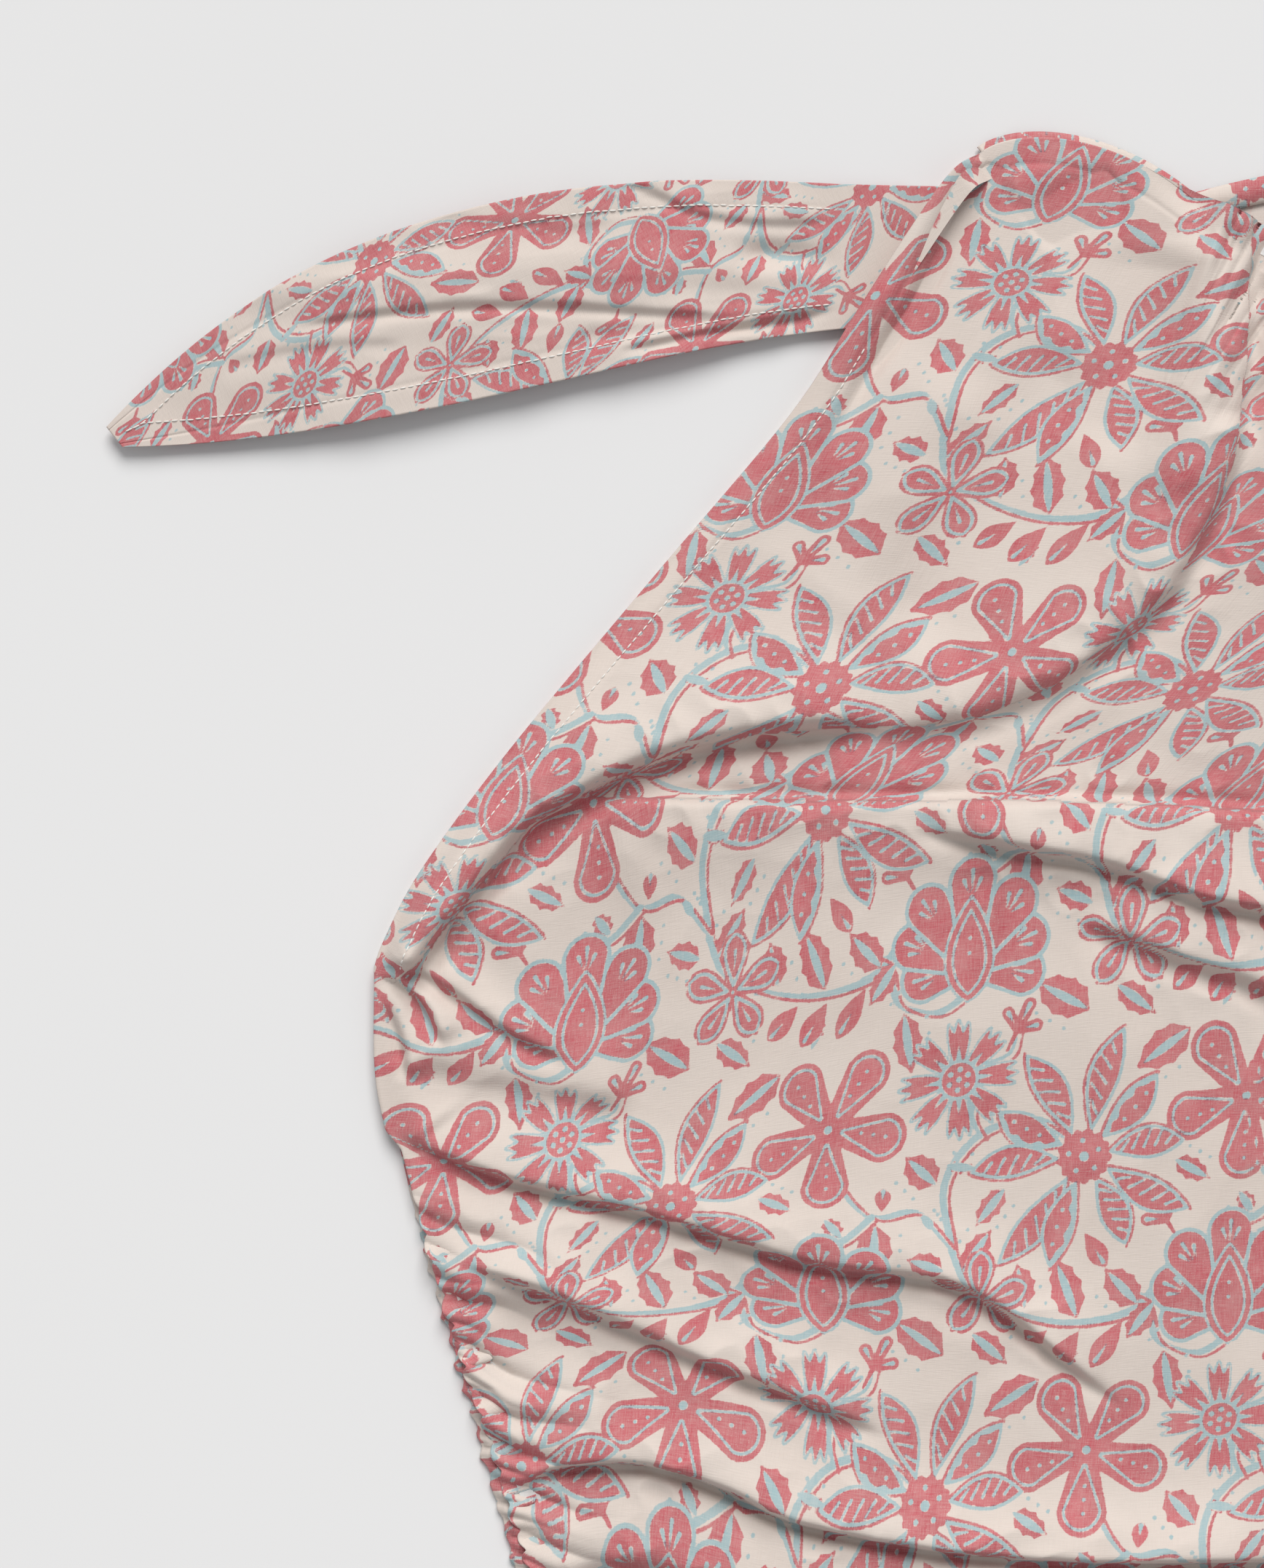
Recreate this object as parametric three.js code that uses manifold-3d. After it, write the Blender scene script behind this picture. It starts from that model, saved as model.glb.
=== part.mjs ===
// Sleeveless printed cotton gown with neck ties, lying flat on its back.
// Millimetres, +Z up. +Y points from the hem to the neck, and x = 0 is the wearer's centre line.
// y = 0 is the top of the shoulders while the pieces are made; the whole gown is centred at the end.

import * as THREE from 'three';
import { mergeVertices } from 'three/addons/utils/BufferGeometryUtils.js';
import Module from 'manifold-3d';

// ---- Driving dimensions -------------------------------------------------------------------

// Body of the gown
const LENGTH = 960;            // top of the shoulder to the hem
const NECK_HALF = 90;          // centre line to the neck end of the shoulder
const SHOULDER_WIDTH = 75;     // neck end to armhole end of the shoulder
const SHOULDER_NECK_DROP = 20; // shoulder top down to the neck end
const SHOULDER_TIP_DROP = 6;   // shoulder top down to the armhole end
const FRONT_NECK_DROP = 58;    // shoulder top down to the middle of the front neckline
const BACK_NECK_DROP = 7;      // shoulder top down to the middle of the back neckline
const CHEST_HALF = 346;        // centre line to the underarm
const ARMHOLE_DEPTH = 260;     // shoulder top down to the underarm
const WAIST_HALF = 274;        // centre line to the narrowest place of the side seam
const WAIST_DEPTH = 550;       // shoulder top down to that place
const HEM_HALF = 340;          // centre line to the hem's corner
const HEM_RISE = 16;           // how far the hem's corners sit above its middle
const BACK_PEEK = 7;           // how far the back stands out past the front at the waist
const BACK_LAP = 60;           // how far the left back laps over the right back

// Cloth and the clearance between two pieces that lie on each other
const CLOTH = 1.2;
const FACING = 0.6;
const GAP = 0.3;
const LOFT = 11;               // how far the front stands above its own edges
const LOFT_RUN = 150;          // distance from the side over which it rises

// Trims
const FACING_WIDTH = 9;        // armhole facing
const BINDING_WIDTH = 6;       // back neck binding
const CASING_WIDTH = 14;       // front neck casing
const NECK_ELASTIC_WIDTH = 6;
const SIDE_ELASTIC_WIDTH = 6;
const SIDE_ELASTIC_TOP = 330;  // shoulder top down to the upper end of the side elastic
const SIDE_ELASTIC_LENGTH = 230;
const SIDE_ELASTIC_INSET = 4;  // side edge of the front to the elastic
const LABEL_WIDTH = 30;
const LABEL_LENGTH = 45;
const LABEL_DEPTH = 700;       // shoulder top down to the middle of the care label

// Neck ties
const TIE_REACH = 229;         // sideways, from the fold line across the tie to its tip
const TIE_FALL = 56;           // towards the hem, from the middle of the fold line to the tip
const TIE_SEWN_LENGTH = 56;    // length of the tie that stays under the shoulder
const TIE_TOP = 0.035;         // where the tie's two edges leave the armhole, as curve parameters
const TIE_BOTTOM = 0.21;
const TIE_FOLD_OUT = 3;        // fold line outside the place where the tie is clear of the armhole

// ---- Levels, from the floor up ---------------------------------------------------------------

const BACK_TOP = CLOTH;
const LAP_BOTTOM = BACK_TOP + GAP;
const BACK_FACING_BOTTOM = BACK_TOP + GAP;
const TIE_LEVEL = BACK_FACING_BOTTOM + FACING + GAP;
const FRONT_FACING_BOTTOM = TIE_LEVEL + CLOTH + GAP;
const FRONT_LEVEL = FRONT_FACING_BOTTOM + FACING + GAP;
const CASING_BOTTOM = FRONT_FACING_BOTTOM - GAP - FACING;

// ---- Materials ------------------------------------------------------------------------------

const cloth = (name, color, roughness = 0.85) => Object.assign(
  new THREE.MeshStandardMaterial({ color, roughness, metalness: 0 }), { name });
const printedCotton = () => cloth('printed cotton', 0xcf9a94);
const plainTape = () => cloth('plain cotton tape', 0xe9dfd2);
const elasticBand = () => cloth('knitted elastic', 0xf1efea, 0.7);

// ---- Solids ---------------------------------------------------------------------------------

const wasm = await Module();
wasm.setup();

function manifold(geometry) {
  const bare = geometry.clone();
  bare.deleteAttribute('normal');
  bare.deleteAttribute('uv');
  const merged = mergeVertices(bare, 1e-4);
  return new wasm.Manifold(new wasm.Mesh({
    numProp: 3,
    vertProperties: new Float32Array(merged.attributes.position.array),
    triVerts: new Uint32Array(merged.index.array),
  }));
}

function geometryOf(solid) {
  const mesh = solid.getMesh();
  const geometry = new THREE.BufferGeometry();
  geometry.setAttribute('position', new THREE.BufferAttribute(mesh.vertProperties, 3));
  geometry.setIndex(new THREE.BufferAttribute(mesh.triVerts, 1));
  geometry.computeVertexNormals();
  return geometry;
}

// A flat plate with the outline `points`, between the heights `low` and `high`.
function plate(points, low, high) {
  const geometry = new THREE.ExtrudeGeometry(new THREE.Shape(points), {
    depth: high - low, bevelEnabled: false, steps: 1,
  });
  return manifold(geometry.translate(0, 0, low));
}

function block(lowX, highX, lowZ, highZ) {
  const tall = 4 * LENGTH;
  const box = new THREE.BoxGeometry(highX - lowX, tall, highZ - lowZ);
  return manifold(box.translate((lowX + highX) / 2, 0, (lowZ + highZ) / 2));
}

// ---- Outlines -------------------------------------------------------------------------------

const point = (x, y) => new THREE.Vector2(x, y);
const mirrored = (points) => points.map((p) => point(-p.x, p.y)).reverse();

const shoulderNeck = point(-NECK_HALF, -SHOULDER_NECK_DROP);
const shoulderTip = point(-NECK_HALF - SHOULDER_WIDTH, -SHOULDER_TIP_DROP);
const underarm = point(-CHEST_HALF, -ARMHOLE_DEPTH);
const waist = point(-WAIST_HALF, -WAIST_DEPTH);
const hemCorner = point(-HEM_HALF, -(LENGTH - HEM_RISE));
const between = (from, to, acrossShare, downShare) => point(
  THREE.MathUtils.lerp(from.x, to.x, acrossShare), THREE.MathUtils.lerp(from.y, to.y, downShare));

const shoulderCurve = new THREE.CubicBezierCurve(
  shoulderNeck,
  point(-NECK_HALF - 0.28 * SHOULDER_WIDTH, 0.06 * SHOULDER_NECK_DROP),
  point(-NECK_HALF - 0.72 * SHOULDER_WIDTH, 0.45 * SHOULDER_TIP_DROP),
  shoulderTip);
const armholeCurve = new THREE.CubicBezierCurve(
  shoulderTip,
  between(shoulderTip, underarm, 0.18, 0.33),
  between(shoulderTip, underarm, 0.98, 0.72),
  underarm);
const hemCurve = new THREE.QuadraticBezierCurve(
  hemCorner, point(-0.45 * HEM_HALF, -LENGTH), point(0, -LENGTH));

// The side seam from the underarm over the waist to the hem; `out` widens it at the waist.
function sideCurves(out) {
  const narrow = point(waist.x - out, waist.y);
  return [
    new THREE.CubicBezierCurve(
      underarm, between(underarm, narrow, 0, 0.25), between(underarm, narrow, 0.95, 0.75), narrow),
    new THREE.CubicBezierCurve(
      narrow, between(narrow, hemCorner, 0.04, 0.3), between(narrow, hemCorner, 0.8, 0.7), hemCorner),
  ];
}

const frontNeckCurve = new THREE.CubicBezierCurve(
  point(0, -FRONT_NECK_DROP), point(-0.45 * NECK_HALF, -FRONT_NECK_DROP),
  point(-0.62 * NECK_HALF, -SHOULDER_NECK_DROP - 6), shoulderNeck);
const backNeckCurve = new THREE.CubicBezierCurve(
  point(0, -BACK_NECK_DROP), point(-0.35 * NECK_HALF, -BACK_NECK_DROP),
  point(-0.75 * NECK_HALF, -0.5 * (BACK_NECK_DROP + SHOULDER_NECK_DROP)), shoulderNeck);

const trace = (curves, steps) => curves.flatMap(
  (curve, index) => curve.getPoints(steps).slice(index === 0 ? 0 : 1));

// `points` moved sideways by `distance`, to the left of their own direction.
function offset(points, distance) {
  return points.map((here, index) => {
    const before = points[Math.max(index - 1, 0)];
    const after = points[Math.min(index + 1, points.length - 1)];
    const along = after.clone().sub(before).normalize();
    return point(here.x - along.y * distance, here.y + along.x * distance);
  });
}

// A closed strip between `points` moved by `near` and by `far`.
const strip = (points, near, far) => [...offset(points, near), ...offset(points, far).reverse()];

function wholeOutline(neckPoints, side) {
  const half = [...neckPoints, ...trace([shoulderCurve, armholeCurve, ...side, hemCurve], 14).slice(1)];
  return [...half, ...mirrored(half).slice(1, -1)];
}

const armholePoints = armholeCurve.getPoints(18);
const frontNeckPoints = frontNeckCurve.getPoints(10);
const backNeckPoints = backNeckCurve.getPoints(10);
const bothSides = (points) => [...mirrored(points).slice(0, -1), ...points];

// ---- Front ----------------------------------------------------------------------------------

// Soft folds of the front, from the side towards the middle: start, end, height and half-width.
const FOLDS = [
  { from: point(-330, -262), to: point(-215, -205), height: 6, reach: 26 },
  { from: point(-265, -205), to: point(-40, -214), height: 8, reach: 24 },
  { from: point(-320, -330), to: point(-160, -362), height: 5, reach: 26 },
  { from: point(-300, -415), to: point(-130, -448), height: 5, reach: 28 },
];

function foldHeight(x, y) {
  const here = point(-Math.abs(x), y);
  return FOLDS.reduce((sum, fold) => {
    const run = fold.to.clone().sub(fold.from);
    const share = THREE.MathUtils.clamp(here.clone().sub(fold.from).dot(run) / run.lengthSq(), 0, 1);
    const away = here.distanceTo(fold.from.clone().addScaledVector(run, share)) / fold.reach;
    return sum + fold.height * Math.sin(Math.PI * (0.15 + 0.7 * share)) * Math.exp(-away * away);
  }, 0);
}

function halfWidthAt(y) {
  const down = THREE.MathUtils.clamp(-y / ARMHOLE_DEPTH, 0, 1);
  return THREE.MathUtils.lerp(NECK_HALF + SHOULDER_WIDTH, WAIST_HALF, down);
}

function frontHeight(x, y) {
  const inside = THREE.MathUtils.clamp((halfWidthAt(y) - Math.abs(x)) / LOFT_RUN, 0, 1);
  const belowNeck = THREE.MathUtils.smoothstep(-y, FRONT_NECK_DROP, ARMHOLE_DEPTH);
  const crown = LOFT * THREE.MathUtils.smoothstep(inside, 0, 1);
  return (crown + foldHeight(x, y)) * belowNeck;
}

function frontPanel() {
  const columns = 30;
  const rows = 38;
  const sheet = new THREE.BoxGeometry(2 * CHEST_HALF + 20, LENGTH + 20, CLOTH, columns, rows, 1);
  sheet.translate(0, -LENGTH / 2, FRONT_LEVEL + CLOTH / 2);
  const places = sheet.attributes.position;
  for (let i = 0; i < places.count; i += 1) {
    places.setZ(i, places.getZ(i) + frontHeight(places.getX(i), places.getY(i)));
  }
  const outline = wholeOutline(frontNeckPoints, sideCurves(0));
  return manifold(sheet).intersect(plate(outline, 0, 10 * FRONT_LEVEL + 2 * LOFT));
}

// ---- Back -----------------------------------------------------------------------------------

// Cuts a flat outline into the right part, on the floor, and the left part that laps over it.
function lapped(outline) {
  const split = -BACK_LAP / 2;
  const far = 2 * CHEST_HALF;
  const low = plate(outline, 0, BACK_TOP);
  const raised = plate(outline, LAP_BOTTOM, LAP_BOTTOM + CLOTH);
  const step = plate(outline, 0, LAP_BOTTOM + CLOTH);
  const right = low.intersect(block(split, far, 0, BACK_TOP));
  const left = low.intersect(block(-far, split - GAP, 0, BACK_TOP))
    .add(step.intersect(block(split - GAP - CLOTH, split - GAP, 0, LAP_BOTTOM + CLOTH)))
    .add(raised.intersect(block(split - GAP - CLOTH, -split, LAP_BOTTOM, LAP_BOTTOM + CLOTH)));
  return { left, right };
}

function backPanels() {
  const neck = offset(backNeckPoints, BINDING_WIDTH + GAP);
  neck[neck.length - 1].copy(shoulderNeck);
  neck[0].x = 0;
  return lapped(wholeOutline(neck, sideCurves(BACK_PEEK)));
}

function backBindings() {
  const edge = bothSides(backNeckPoints.slice(0, -2));
  return lapped(strip(edge, 0, BINDING_WIDTH));
}

// ---- Trims ----------------------------------------------------------------------------------

const armholeFacing = (bottom) => plate(strip(armholePoints, 0, FACING_WIDTH), bottom, bottom + FACING);

function neckBand(inset, width, bottom) {
  const edge = bothSides(frontNeckPoints.slice(0, -1));
  return plate(strip(edge, inset, inset + width), bottom, bottom + FACING);
}

function sideElastic() {
  const seam = trace(sideCurves(0), 30).filter(
    (p) => -p.y >= SIDE_ELASTIC_TOP && -p.y <= SIDE_ELASTIC_TOP + SIDE_ELASTIC_LENGTH);
  return plate(
    strip(seam, SIDE_ELASTIC_INSET, SIDE_ELASTIC_INSET + SIDE_ELASTIC_WIDTH),
    BACK_TOP + GAP, FRONT_LEVEL - GAP);
}

function careLabel() {
  const seam = trace(sideCurves(0), 30);
  const nearest = seam.reduce(
    (best, p) => (Math.abs(p.y + LABEL_DEPTH) < Math.abs(best.y + LABEL_DEPTH) ? p : best));
  const left = nearest.x + SIDE_ELASTIC_INSET;
  const low = -LABEL_DEPTH - LABEL_LENGTH / 2;
  const outline = [
    point(left, low), point(left + LABEL_WIDTH, low),
    point(left + LABEL_WIDTH, low + LABEL_LENGTH), point(left, low + LABEL_LENGTH),
  ];
  return plate(outline, BACK_TOP + GAP, BACK_TOP + GAP + FACING);
}

// ---- Neck ties ------------------------------------------------------------------------------

// The tie folds across its width, on a line just outside the front's armhole edge.
const tieTopExit = armholeCurve.getPoint(TIE_TOP);
const tieBottomExit = armholeCurve.getPoint(TIE_BOTTOM);
const foldTop = point(tieBottomExit.x - TIE_FOLD_OUT, tieTopExit.y);
const foldBottom = point(tieBottomExit.x - TIE_FOLD_OUT, tieBottomExit.y);

// Both edges of the free tie run from the fold line to one point; it slopes down to the floor.
function freeTie() {
  const tip = point(foldTop.x - TIE_REACH, (foldTop.y + foldBottom.y) / 2 - TIE_FALL);
  const from = (start, across, down) => point(start.x - across * TIE_REACH, start.y - down * TIE_REACH);
  const upper = new THREE.CubicBezierCurve(
    foldTop, from(foldTop, 0.432, -0.026), from(foldTop, 0.747, 0.057), tip);
  const lower = new THREE.CubicBezierCurve(
    foldBottom, from(foldBottom, 0.266, 0.024), from(foldBottom, 0.607, 0.155), tip);
  const outline = [...upper.getPoints(16), ...lower.getPoints(16).reverse().slice(1)];
  const inner = foldTop.x - GAP / 2;
  const sheet = new THREE.BoxGeometry(TIE_REACH, 2 * TIE_REACH, CLOTH, 12, 1, 1);
  sheet.translate(inner - TIE_REACH / 2, foldTop.y, TIE_LEVEL + CLOTH / 2);
  const places = sheet.attributes.position;
  for (let i = 0; i < places.count; i += 1) {
    const run = (inner - places.getX(i)) / TIE_REACH;
    places.setZ(i, places.getZ(i) - TIE_LEVEL * run);
  }
  return manifold(sheet).intersect(plate(outline, -TIE_REACH, TIE_REACH));
}

function sewnTieEnd() {
  const outer = foldTop.x + GAP / 2;
  const outline = [
    point(outer, foldTop.y),
    point(outer, foldBottom.y),
    point(tieBottomExit.x + TIE_SEWN_LENGTH, foldBottom.y + 0.08 * TIE_SEWN_LENGTH),
    point(tieTopExit.x + TIE_SEWN_LENGTH, foldTop.y),
  ];
  return plate(outline, TIE_LEVEL, TIE_LEVEL + CLOTH);
}

// ---- The gown -------------------------------------------------------------------------------

const gown = new THREE.Group();
gown.name = 'gown';

function place(name, solid, material) {
  const mesh = new THREE.Mesh(geometryOf(solid), material);
  mesh.name = name;
  gown.add(mesh);
}

// The same solid on the wearer's two sides; the given one is at -X.
function placePair(name, solid, material) {
  place(`${name}_left`, solid, material());
  place(`${name}_right`, solid.mirror([1, 0, 0]), material());
}

place('front_panel', frontPanel(), printedCotton());
const backs = backPanels();
place('back_panel_left', backs.left, printedCotton());
place('back_panel_right', backs.right, printedCotton());
const bindings = backBindings();
place('back_neck_binding_left', bindings.left, printedCotton());
place('back_neck_binding_right', bindings.right, printedCotton());
place('neck_elastic', neckBand(2, NECK_ELASTIC_WIDTH, FRONT_FACING_BOTTOM), elasticBand());
place('front_neck_casing', neckBand(0, CASING_WIDTH, CASING_BOTTOM), printedCotton());
placePair('front_armhole_facing', armholeFacing(FRONT_FACING_BOTTOM), printedCotton);
placePair('back_armhole_facing', armholeFacing(BACK_FACING_BOTTOM), printedCotton);
placePair('side_elastic', sideElastic(), elasticBand);
placePair('neck_tie_sewn_end', sewnTieEnd(), printedCotton);
placePair('neck_tie', freeTie(), printedCotton);
place('care_label', careLabel(), plainTape());

// Origin at the middle of the gown's own box, on the floor.
const middle = new THREE.Box3().setFromObject(gown).getCenter(new THREE.Vector3());
gown.position.set(-middle.x, -middle.y, 0);

export default gown;
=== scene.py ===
"""Patient gown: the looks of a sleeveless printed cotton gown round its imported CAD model.

Lengths are garment millimetres: x to the wearer's left in the picture, y = 0 at the shoulder's top and
negative down the gown, z up from the floor it lies on. metres() turns them into the row frame.
"""

import bpy
import numpy as np
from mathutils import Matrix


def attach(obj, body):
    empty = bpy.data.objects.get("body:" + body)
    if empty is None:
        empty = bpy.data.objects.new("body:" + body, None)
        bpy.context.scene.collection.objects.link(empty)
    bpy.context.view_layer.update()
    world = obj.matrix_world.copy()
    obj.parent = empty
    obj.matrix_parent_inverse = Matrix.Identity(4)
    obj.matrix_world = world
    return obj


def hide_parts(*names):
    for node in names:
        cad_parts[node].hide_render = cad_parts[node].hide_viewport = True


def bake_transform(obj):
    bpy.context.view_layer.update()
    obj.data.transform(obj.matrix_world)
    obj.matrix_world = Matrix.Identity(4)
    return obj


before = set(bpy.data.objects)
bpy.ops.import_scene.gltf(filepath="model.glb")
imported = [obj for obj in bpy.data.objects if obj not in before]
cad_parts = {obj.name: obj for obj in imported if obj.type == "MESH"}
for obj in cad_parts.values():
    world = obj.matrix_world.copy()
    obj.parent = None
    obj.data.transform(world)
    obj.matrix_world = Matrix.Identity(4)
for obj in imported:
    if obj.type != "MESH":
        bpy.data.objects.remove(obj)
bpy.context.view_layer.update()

# ---------------------------------------------------------------- sizes, in millimetres
FRAME_RISE = 480.5          # garment y = 0 lies this far up the row frame
NECK_SHOULDER = (-90.0, -20.0)
TIP_SHOULDER = (-155.9, -5.0)
FRONT_NECK_DROP = 58.0
BACK_NECK_DROP = 7.0
ARMHOLE = [(-166.4, -12.5), (-180.9, -33), (-195.5, -55.7), (-216.1, -87.5), (-258.2, -137.5),
           (-303.6, -192), (-331.4, -229.8), (-342.7, -251.1)]
UNDERARM = (-346.0, -260.0)
WAIST = (-274.0, -550.0)
HEM_CORNER = (-340.0, -944.0)
HEM_MIDDLE = -960.0
BACK_PEEK = 7.0             # how far the back shows past the front along the side seam
BACK_LAP = 30.0             # how far each back panel runs past the centre
HEM_FOLD = 8.5              # turned hem inside the armhole
STITCH_INSET = 8.0
STITCH_PITCH = 2.5
STITCH_GAP = 0.12           # share of the pitch left bare at each end of a stitch
THREAD_RADIUS = 0.27
FACING_WIDTH = 9.0
CASING_WIDTH = 14.0
BINDING_WIDTH = 6.0
BINDING_OVERHANG = 2.4      # the binding stands this far past the back neck's edge
FRONT_LEVEL = 5.2           # the front's edge lies this high, on the pieces under it
FRONT_CROWN = 6.5           # how much higher its middle lies
FACING_DROP = 1.5           # the front's turned hems lie this far under its face
CASING_DROP = 1.6
BINDING_LEVEL, BACK_HEM_LEVEL = 2.5, 2.2
BACK_THICK = 1.05           # a back panel as it lies, with the air in it
FOLD_RISE, FOLD_SINK = 1.4, 1.5   # how strongly the drawn folds stand up and cut in
WALL = 1.4                        # how widely the wall of a fold spreads
RUCHE_TOP, RUCHE_END = -322.0, -565.0
TIE_ROOT = -201.0
TIE_TOP, TIE_FOOT = -14.9, -60.4
TIE_TIP = (-430.0, -91.0)
TIE_TIP_FOOT = (-425.0, -97.2)
TIE_SEWN_END = -122.0
TIE_BEND = 4.0              # the bend's two ends lie this far on each side of the tie's joint; they are worked out below but not used
TIE_MIDDLE = -40.5          # how far down the middle of the tie's root lies
TIE_BEND_LEVEL = 5.0        # how high the tie's joint lies
FINE = 0.58   # cloth grid where the photograph looks
COARSE = 1.5  # and everywhere else
PHOTO_FOOT = -452.0             # the photograph ends just above this depth
VIEW_CENTRE = (-265.5, -202.7)  # the place under the camera
VIEW_HEIGHT = 489.5             # how much of the gown's length the photograph shows
LENS, SENSOR = 100.0, 36.0


def metres(points):
    """Garment millimetres to the row frame's metres."""
    p = np.array(points, float)
    p[..., 1] += FRAME_RISE
    return p / 1000.0


def smooth(t):
    """Eases from 0 to 1."""
    t = np.clip(t, 0.0, 1.0)
    return t * t * (3 - 2 * t)


def bezier(a, b, c, d, count=60):
    """A cubic curve from a to d with handles at b and c."""
    t = np.linspace(0, 1, count)[:, None]
    a, b, c, d = (np.array(p, float) for p in (a, b, c, d))
    return (1 - t) ** 3 * a + 3 * (1 - t) ** 2 * t * b + 3 * (1 - t) * t * t * c + t**3 * d


def shares(a, d, first, second, count=60):
    """A cubic from a to d whose handles sit at these shares of the way across and down."""
    (ax, ay), (dx, dy) = a, d
    handles = [(ax + (dx - ax) * u, ay + (dy - ay) * v) for u, v in (first, second)]
    return bezier(a, *handles, d, count)


def lengths(curve):
    """How far along the curve each of its points lies."""
    return np.concatenate([[0], np.cumsum(np.linalg.norm(np.diff(curve, axis=0), axis=1))])


def along(curve, count=None, at=None):
    """The curve at even steps of its length, or at given shares of it."""
    run = lengths(curve)
    t = np.linspace(0, 1, count) if at is None else np.asarray(at)
    return np.stack([np.interp(t * run[-1], run, curve[:, k]) for k in (0, 1)], 1)


def right_of(curve):
    """Directions to the right-hand side of a curve."""
    t = np.gradient(curve, axis=0)
    return np.stack([t[:, 1], -t[:, 0]], 1) / np.hypot(t[:, 0], t[:, 1])[:, None]


def mirrored(curve):
    """The curve on the other half of the gown."""
    return np.asarray(curve) * [-1, 1]


def armhole():
    """The left armhole's edge, from the shoulder down."""
    return round_path([TIP_SHOULDER, *ARMHOLE, UNDERARM], 8)


def side(out=0.0):
    """The left side seam from the underarm to the hem, its waist moved out."""
    waist = (WAIST[0] - out, WAIST[1])
    upper = shares(UNDERARM, waist, (0.0, 0.25), (0.95, 0.75))
    return np.vstack([upper, shares(waist, HEM_CORNER, (0.04, 0.30), (0.80, 0.70))[1:]])


def shoulder():
    """The left shoulder's edge, from its tip to the neck."""
    return bezier(TIP_SHOULDER, (-146, 2.6), (-116, 2.2), NECK_SHOULDER)


def front_neck():
    """The left half of the front neckline, down to the centre."""
    return bezier(NECK_SHOULDER, (-55.8, -26), (-40.5, -58), (0, -FRONT_NECK_DROP))


def back_neck():
    """The left half of the back neckline."""
    return bezier(NECK_SHOULDER, (-67.5, -13.5), (-31.5, -7), (0, -BACK_NECK_DROP))


def hem():
    """The left half of the hem, towards the centre."""
    t = np.linspace(0, 1, 60)[:, None]
    a, b, c = np.array(HEM_CORNER), np.array((-153.0, HEM_MIDDLE)), np.array((0.0, HEM_MIDDLE))
    return (1 - t) ** 2 * a + 2 * (1 - t) * t * b + t * t * c


def x_on(curve, y):
    """The x of a falling curve at each depth."""
    return np.interp(-y, -curve[:, 1], curve[:, 0])


def on_curve(x, curve):
    """The places at these x of a curve that runs left to right."""
    return np.stack([x, np.interp(x, curve[:, 0], curve[:, 1])], 1)


def above_depth(curve, depth):
    """The part of a falling curve above a depth, ending exactly on it."""
    return np.vstack([curve[curve[:, 1] > depth], [[x_on(curve, depth), depth]]])


# ---------------------------------------------------------------- noise and distance
def value_noise(x, y, size, seed):
    """Smooth random hills about 0, with bumps of this size in millimetres."""
    table = np.random.default_rng(seed).uniform(-1, 1, (64, 64))
    u, v = x / size + 311.7, y / size + 877.3
    iu, iv = np.floor(u).astype(int), np.floor(v).astype(int)
    fu, fv = smooth(u - iu), smooth(v - iv)
    a, b = table[iv % 64, iu % 64], table[iv % 64, (iu + 1) % 64]
    c, d = table[(iv + 1) % 64, iu % 64], table[(iv + 1) % 64, (iu + 1) % 64]
    return (a + (b - a) * fu) * (1 - fv) + (c + (d - c) * fu) * fv


def path_distance(x, y, path):
    """Distance to a path, positive on its left, and how far along it the nearest place is."""
    path = np.asarray(path, float)
    best = np.full(x.shape, 1e9)
    signed, share = np.full(x.shape, 1e9), np.zeros(x.shape)
    count = len(path) - 1
    for k in range(count):
        (ax, ay), (bx, by) = path[k], path[k + 1]
        dx, dy = bx - ax, by - ay
        t = np.clip(((x - ax) * dx + (y - ay) * dy) / max(dx * dx + dy * dy, 1e-9), 0, 1)
        d = np.hypot(x - ax - t * dx, y - ay - t * dy)
        nearer = d < best
        left = np.where(dx * (y - ay) - dy * (x - ax) >= 0, d, -d)
        signed = np.where(nearer, left, signed)
        share = np.where(nearer, (k + t) / count, share)
        best = np.where(nearer, d, best)
    return signed, share


def round_path(points, steps=6, closed=False):
    """A smooth path through points, closed into a loop if asked."""
    p = np.asarray(points, float)
    before, after = (p[-1:], p[:2]) if closed else (2 * p[:1] - p[1:2], 2 * p[-1:] - p[-2:-1])
    p = np.vstack([before, p, after])
    t = np.linspace(0, 1, steps, endpoint=False)[:, None]
    out = []
    for a, b, c, d in zip(p[:-3], p[1:-2], p[2:-1], p[3:]):
        out.append(0.5 * (2 * b + (c - a) * t + (2 * a - 5 * b + 4 * c - d) * t**2
                          + (3 * b - a - 3 * c + d) * t**3))
    return np.vstack(out if closed else [*out, p[-2:-1]])


# ---------------------------------------------------------------- the printing block
STEP = 0.3                  # the block is drawn in cells of this size
REPEAT = (129.0, 108.6)
DROP = 43.2                 # each row of repeats starts this far past the one under it
COLS, ROWS = int(round(REPEAT[0] / STEP)), int(round(REPEAT[1] / STEP))
SHIFT = int(round(DROP / STEP))
FAR = 9.0                   # the distance stored where nothing is near
OVERLAP = 0.2               # the inks meet with this much of a gap
THIN = 0.28                 # half-width of a vein's thin end
RIM = 1.15                  # blue line round a petal
SHADOW = 0.8                # red line outside it

# Each ink's signed distance over one repeat, negative where it prints.
red = np.full((ROWS, COLS), FAR)
blue = np.full((ROWS, COLS), FAR)


class Window:
    """The part of the repeat round a shape, as places in millimetres and cells of the repeat."""

    def __init__(self, low, high, margin=3.0):
        ix = np.arange(int((low[0] - margin) // STEP), int((high[0] + margin) // STEP) + 2)
        iy = np.arange(int((low[1] - margin) // STEP), int((high[1] + margin) // STEP) + 2)
        gx, gy = np.meshgrid(ix, iy)
        self.x, self.y = gx * STEP, gy * STEP
        row = np.floor_divide(gy, ROWS)
        self.cell = (gy - row * ROWS, np.mod(gx - row * SHIFT, COLS))


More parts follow.
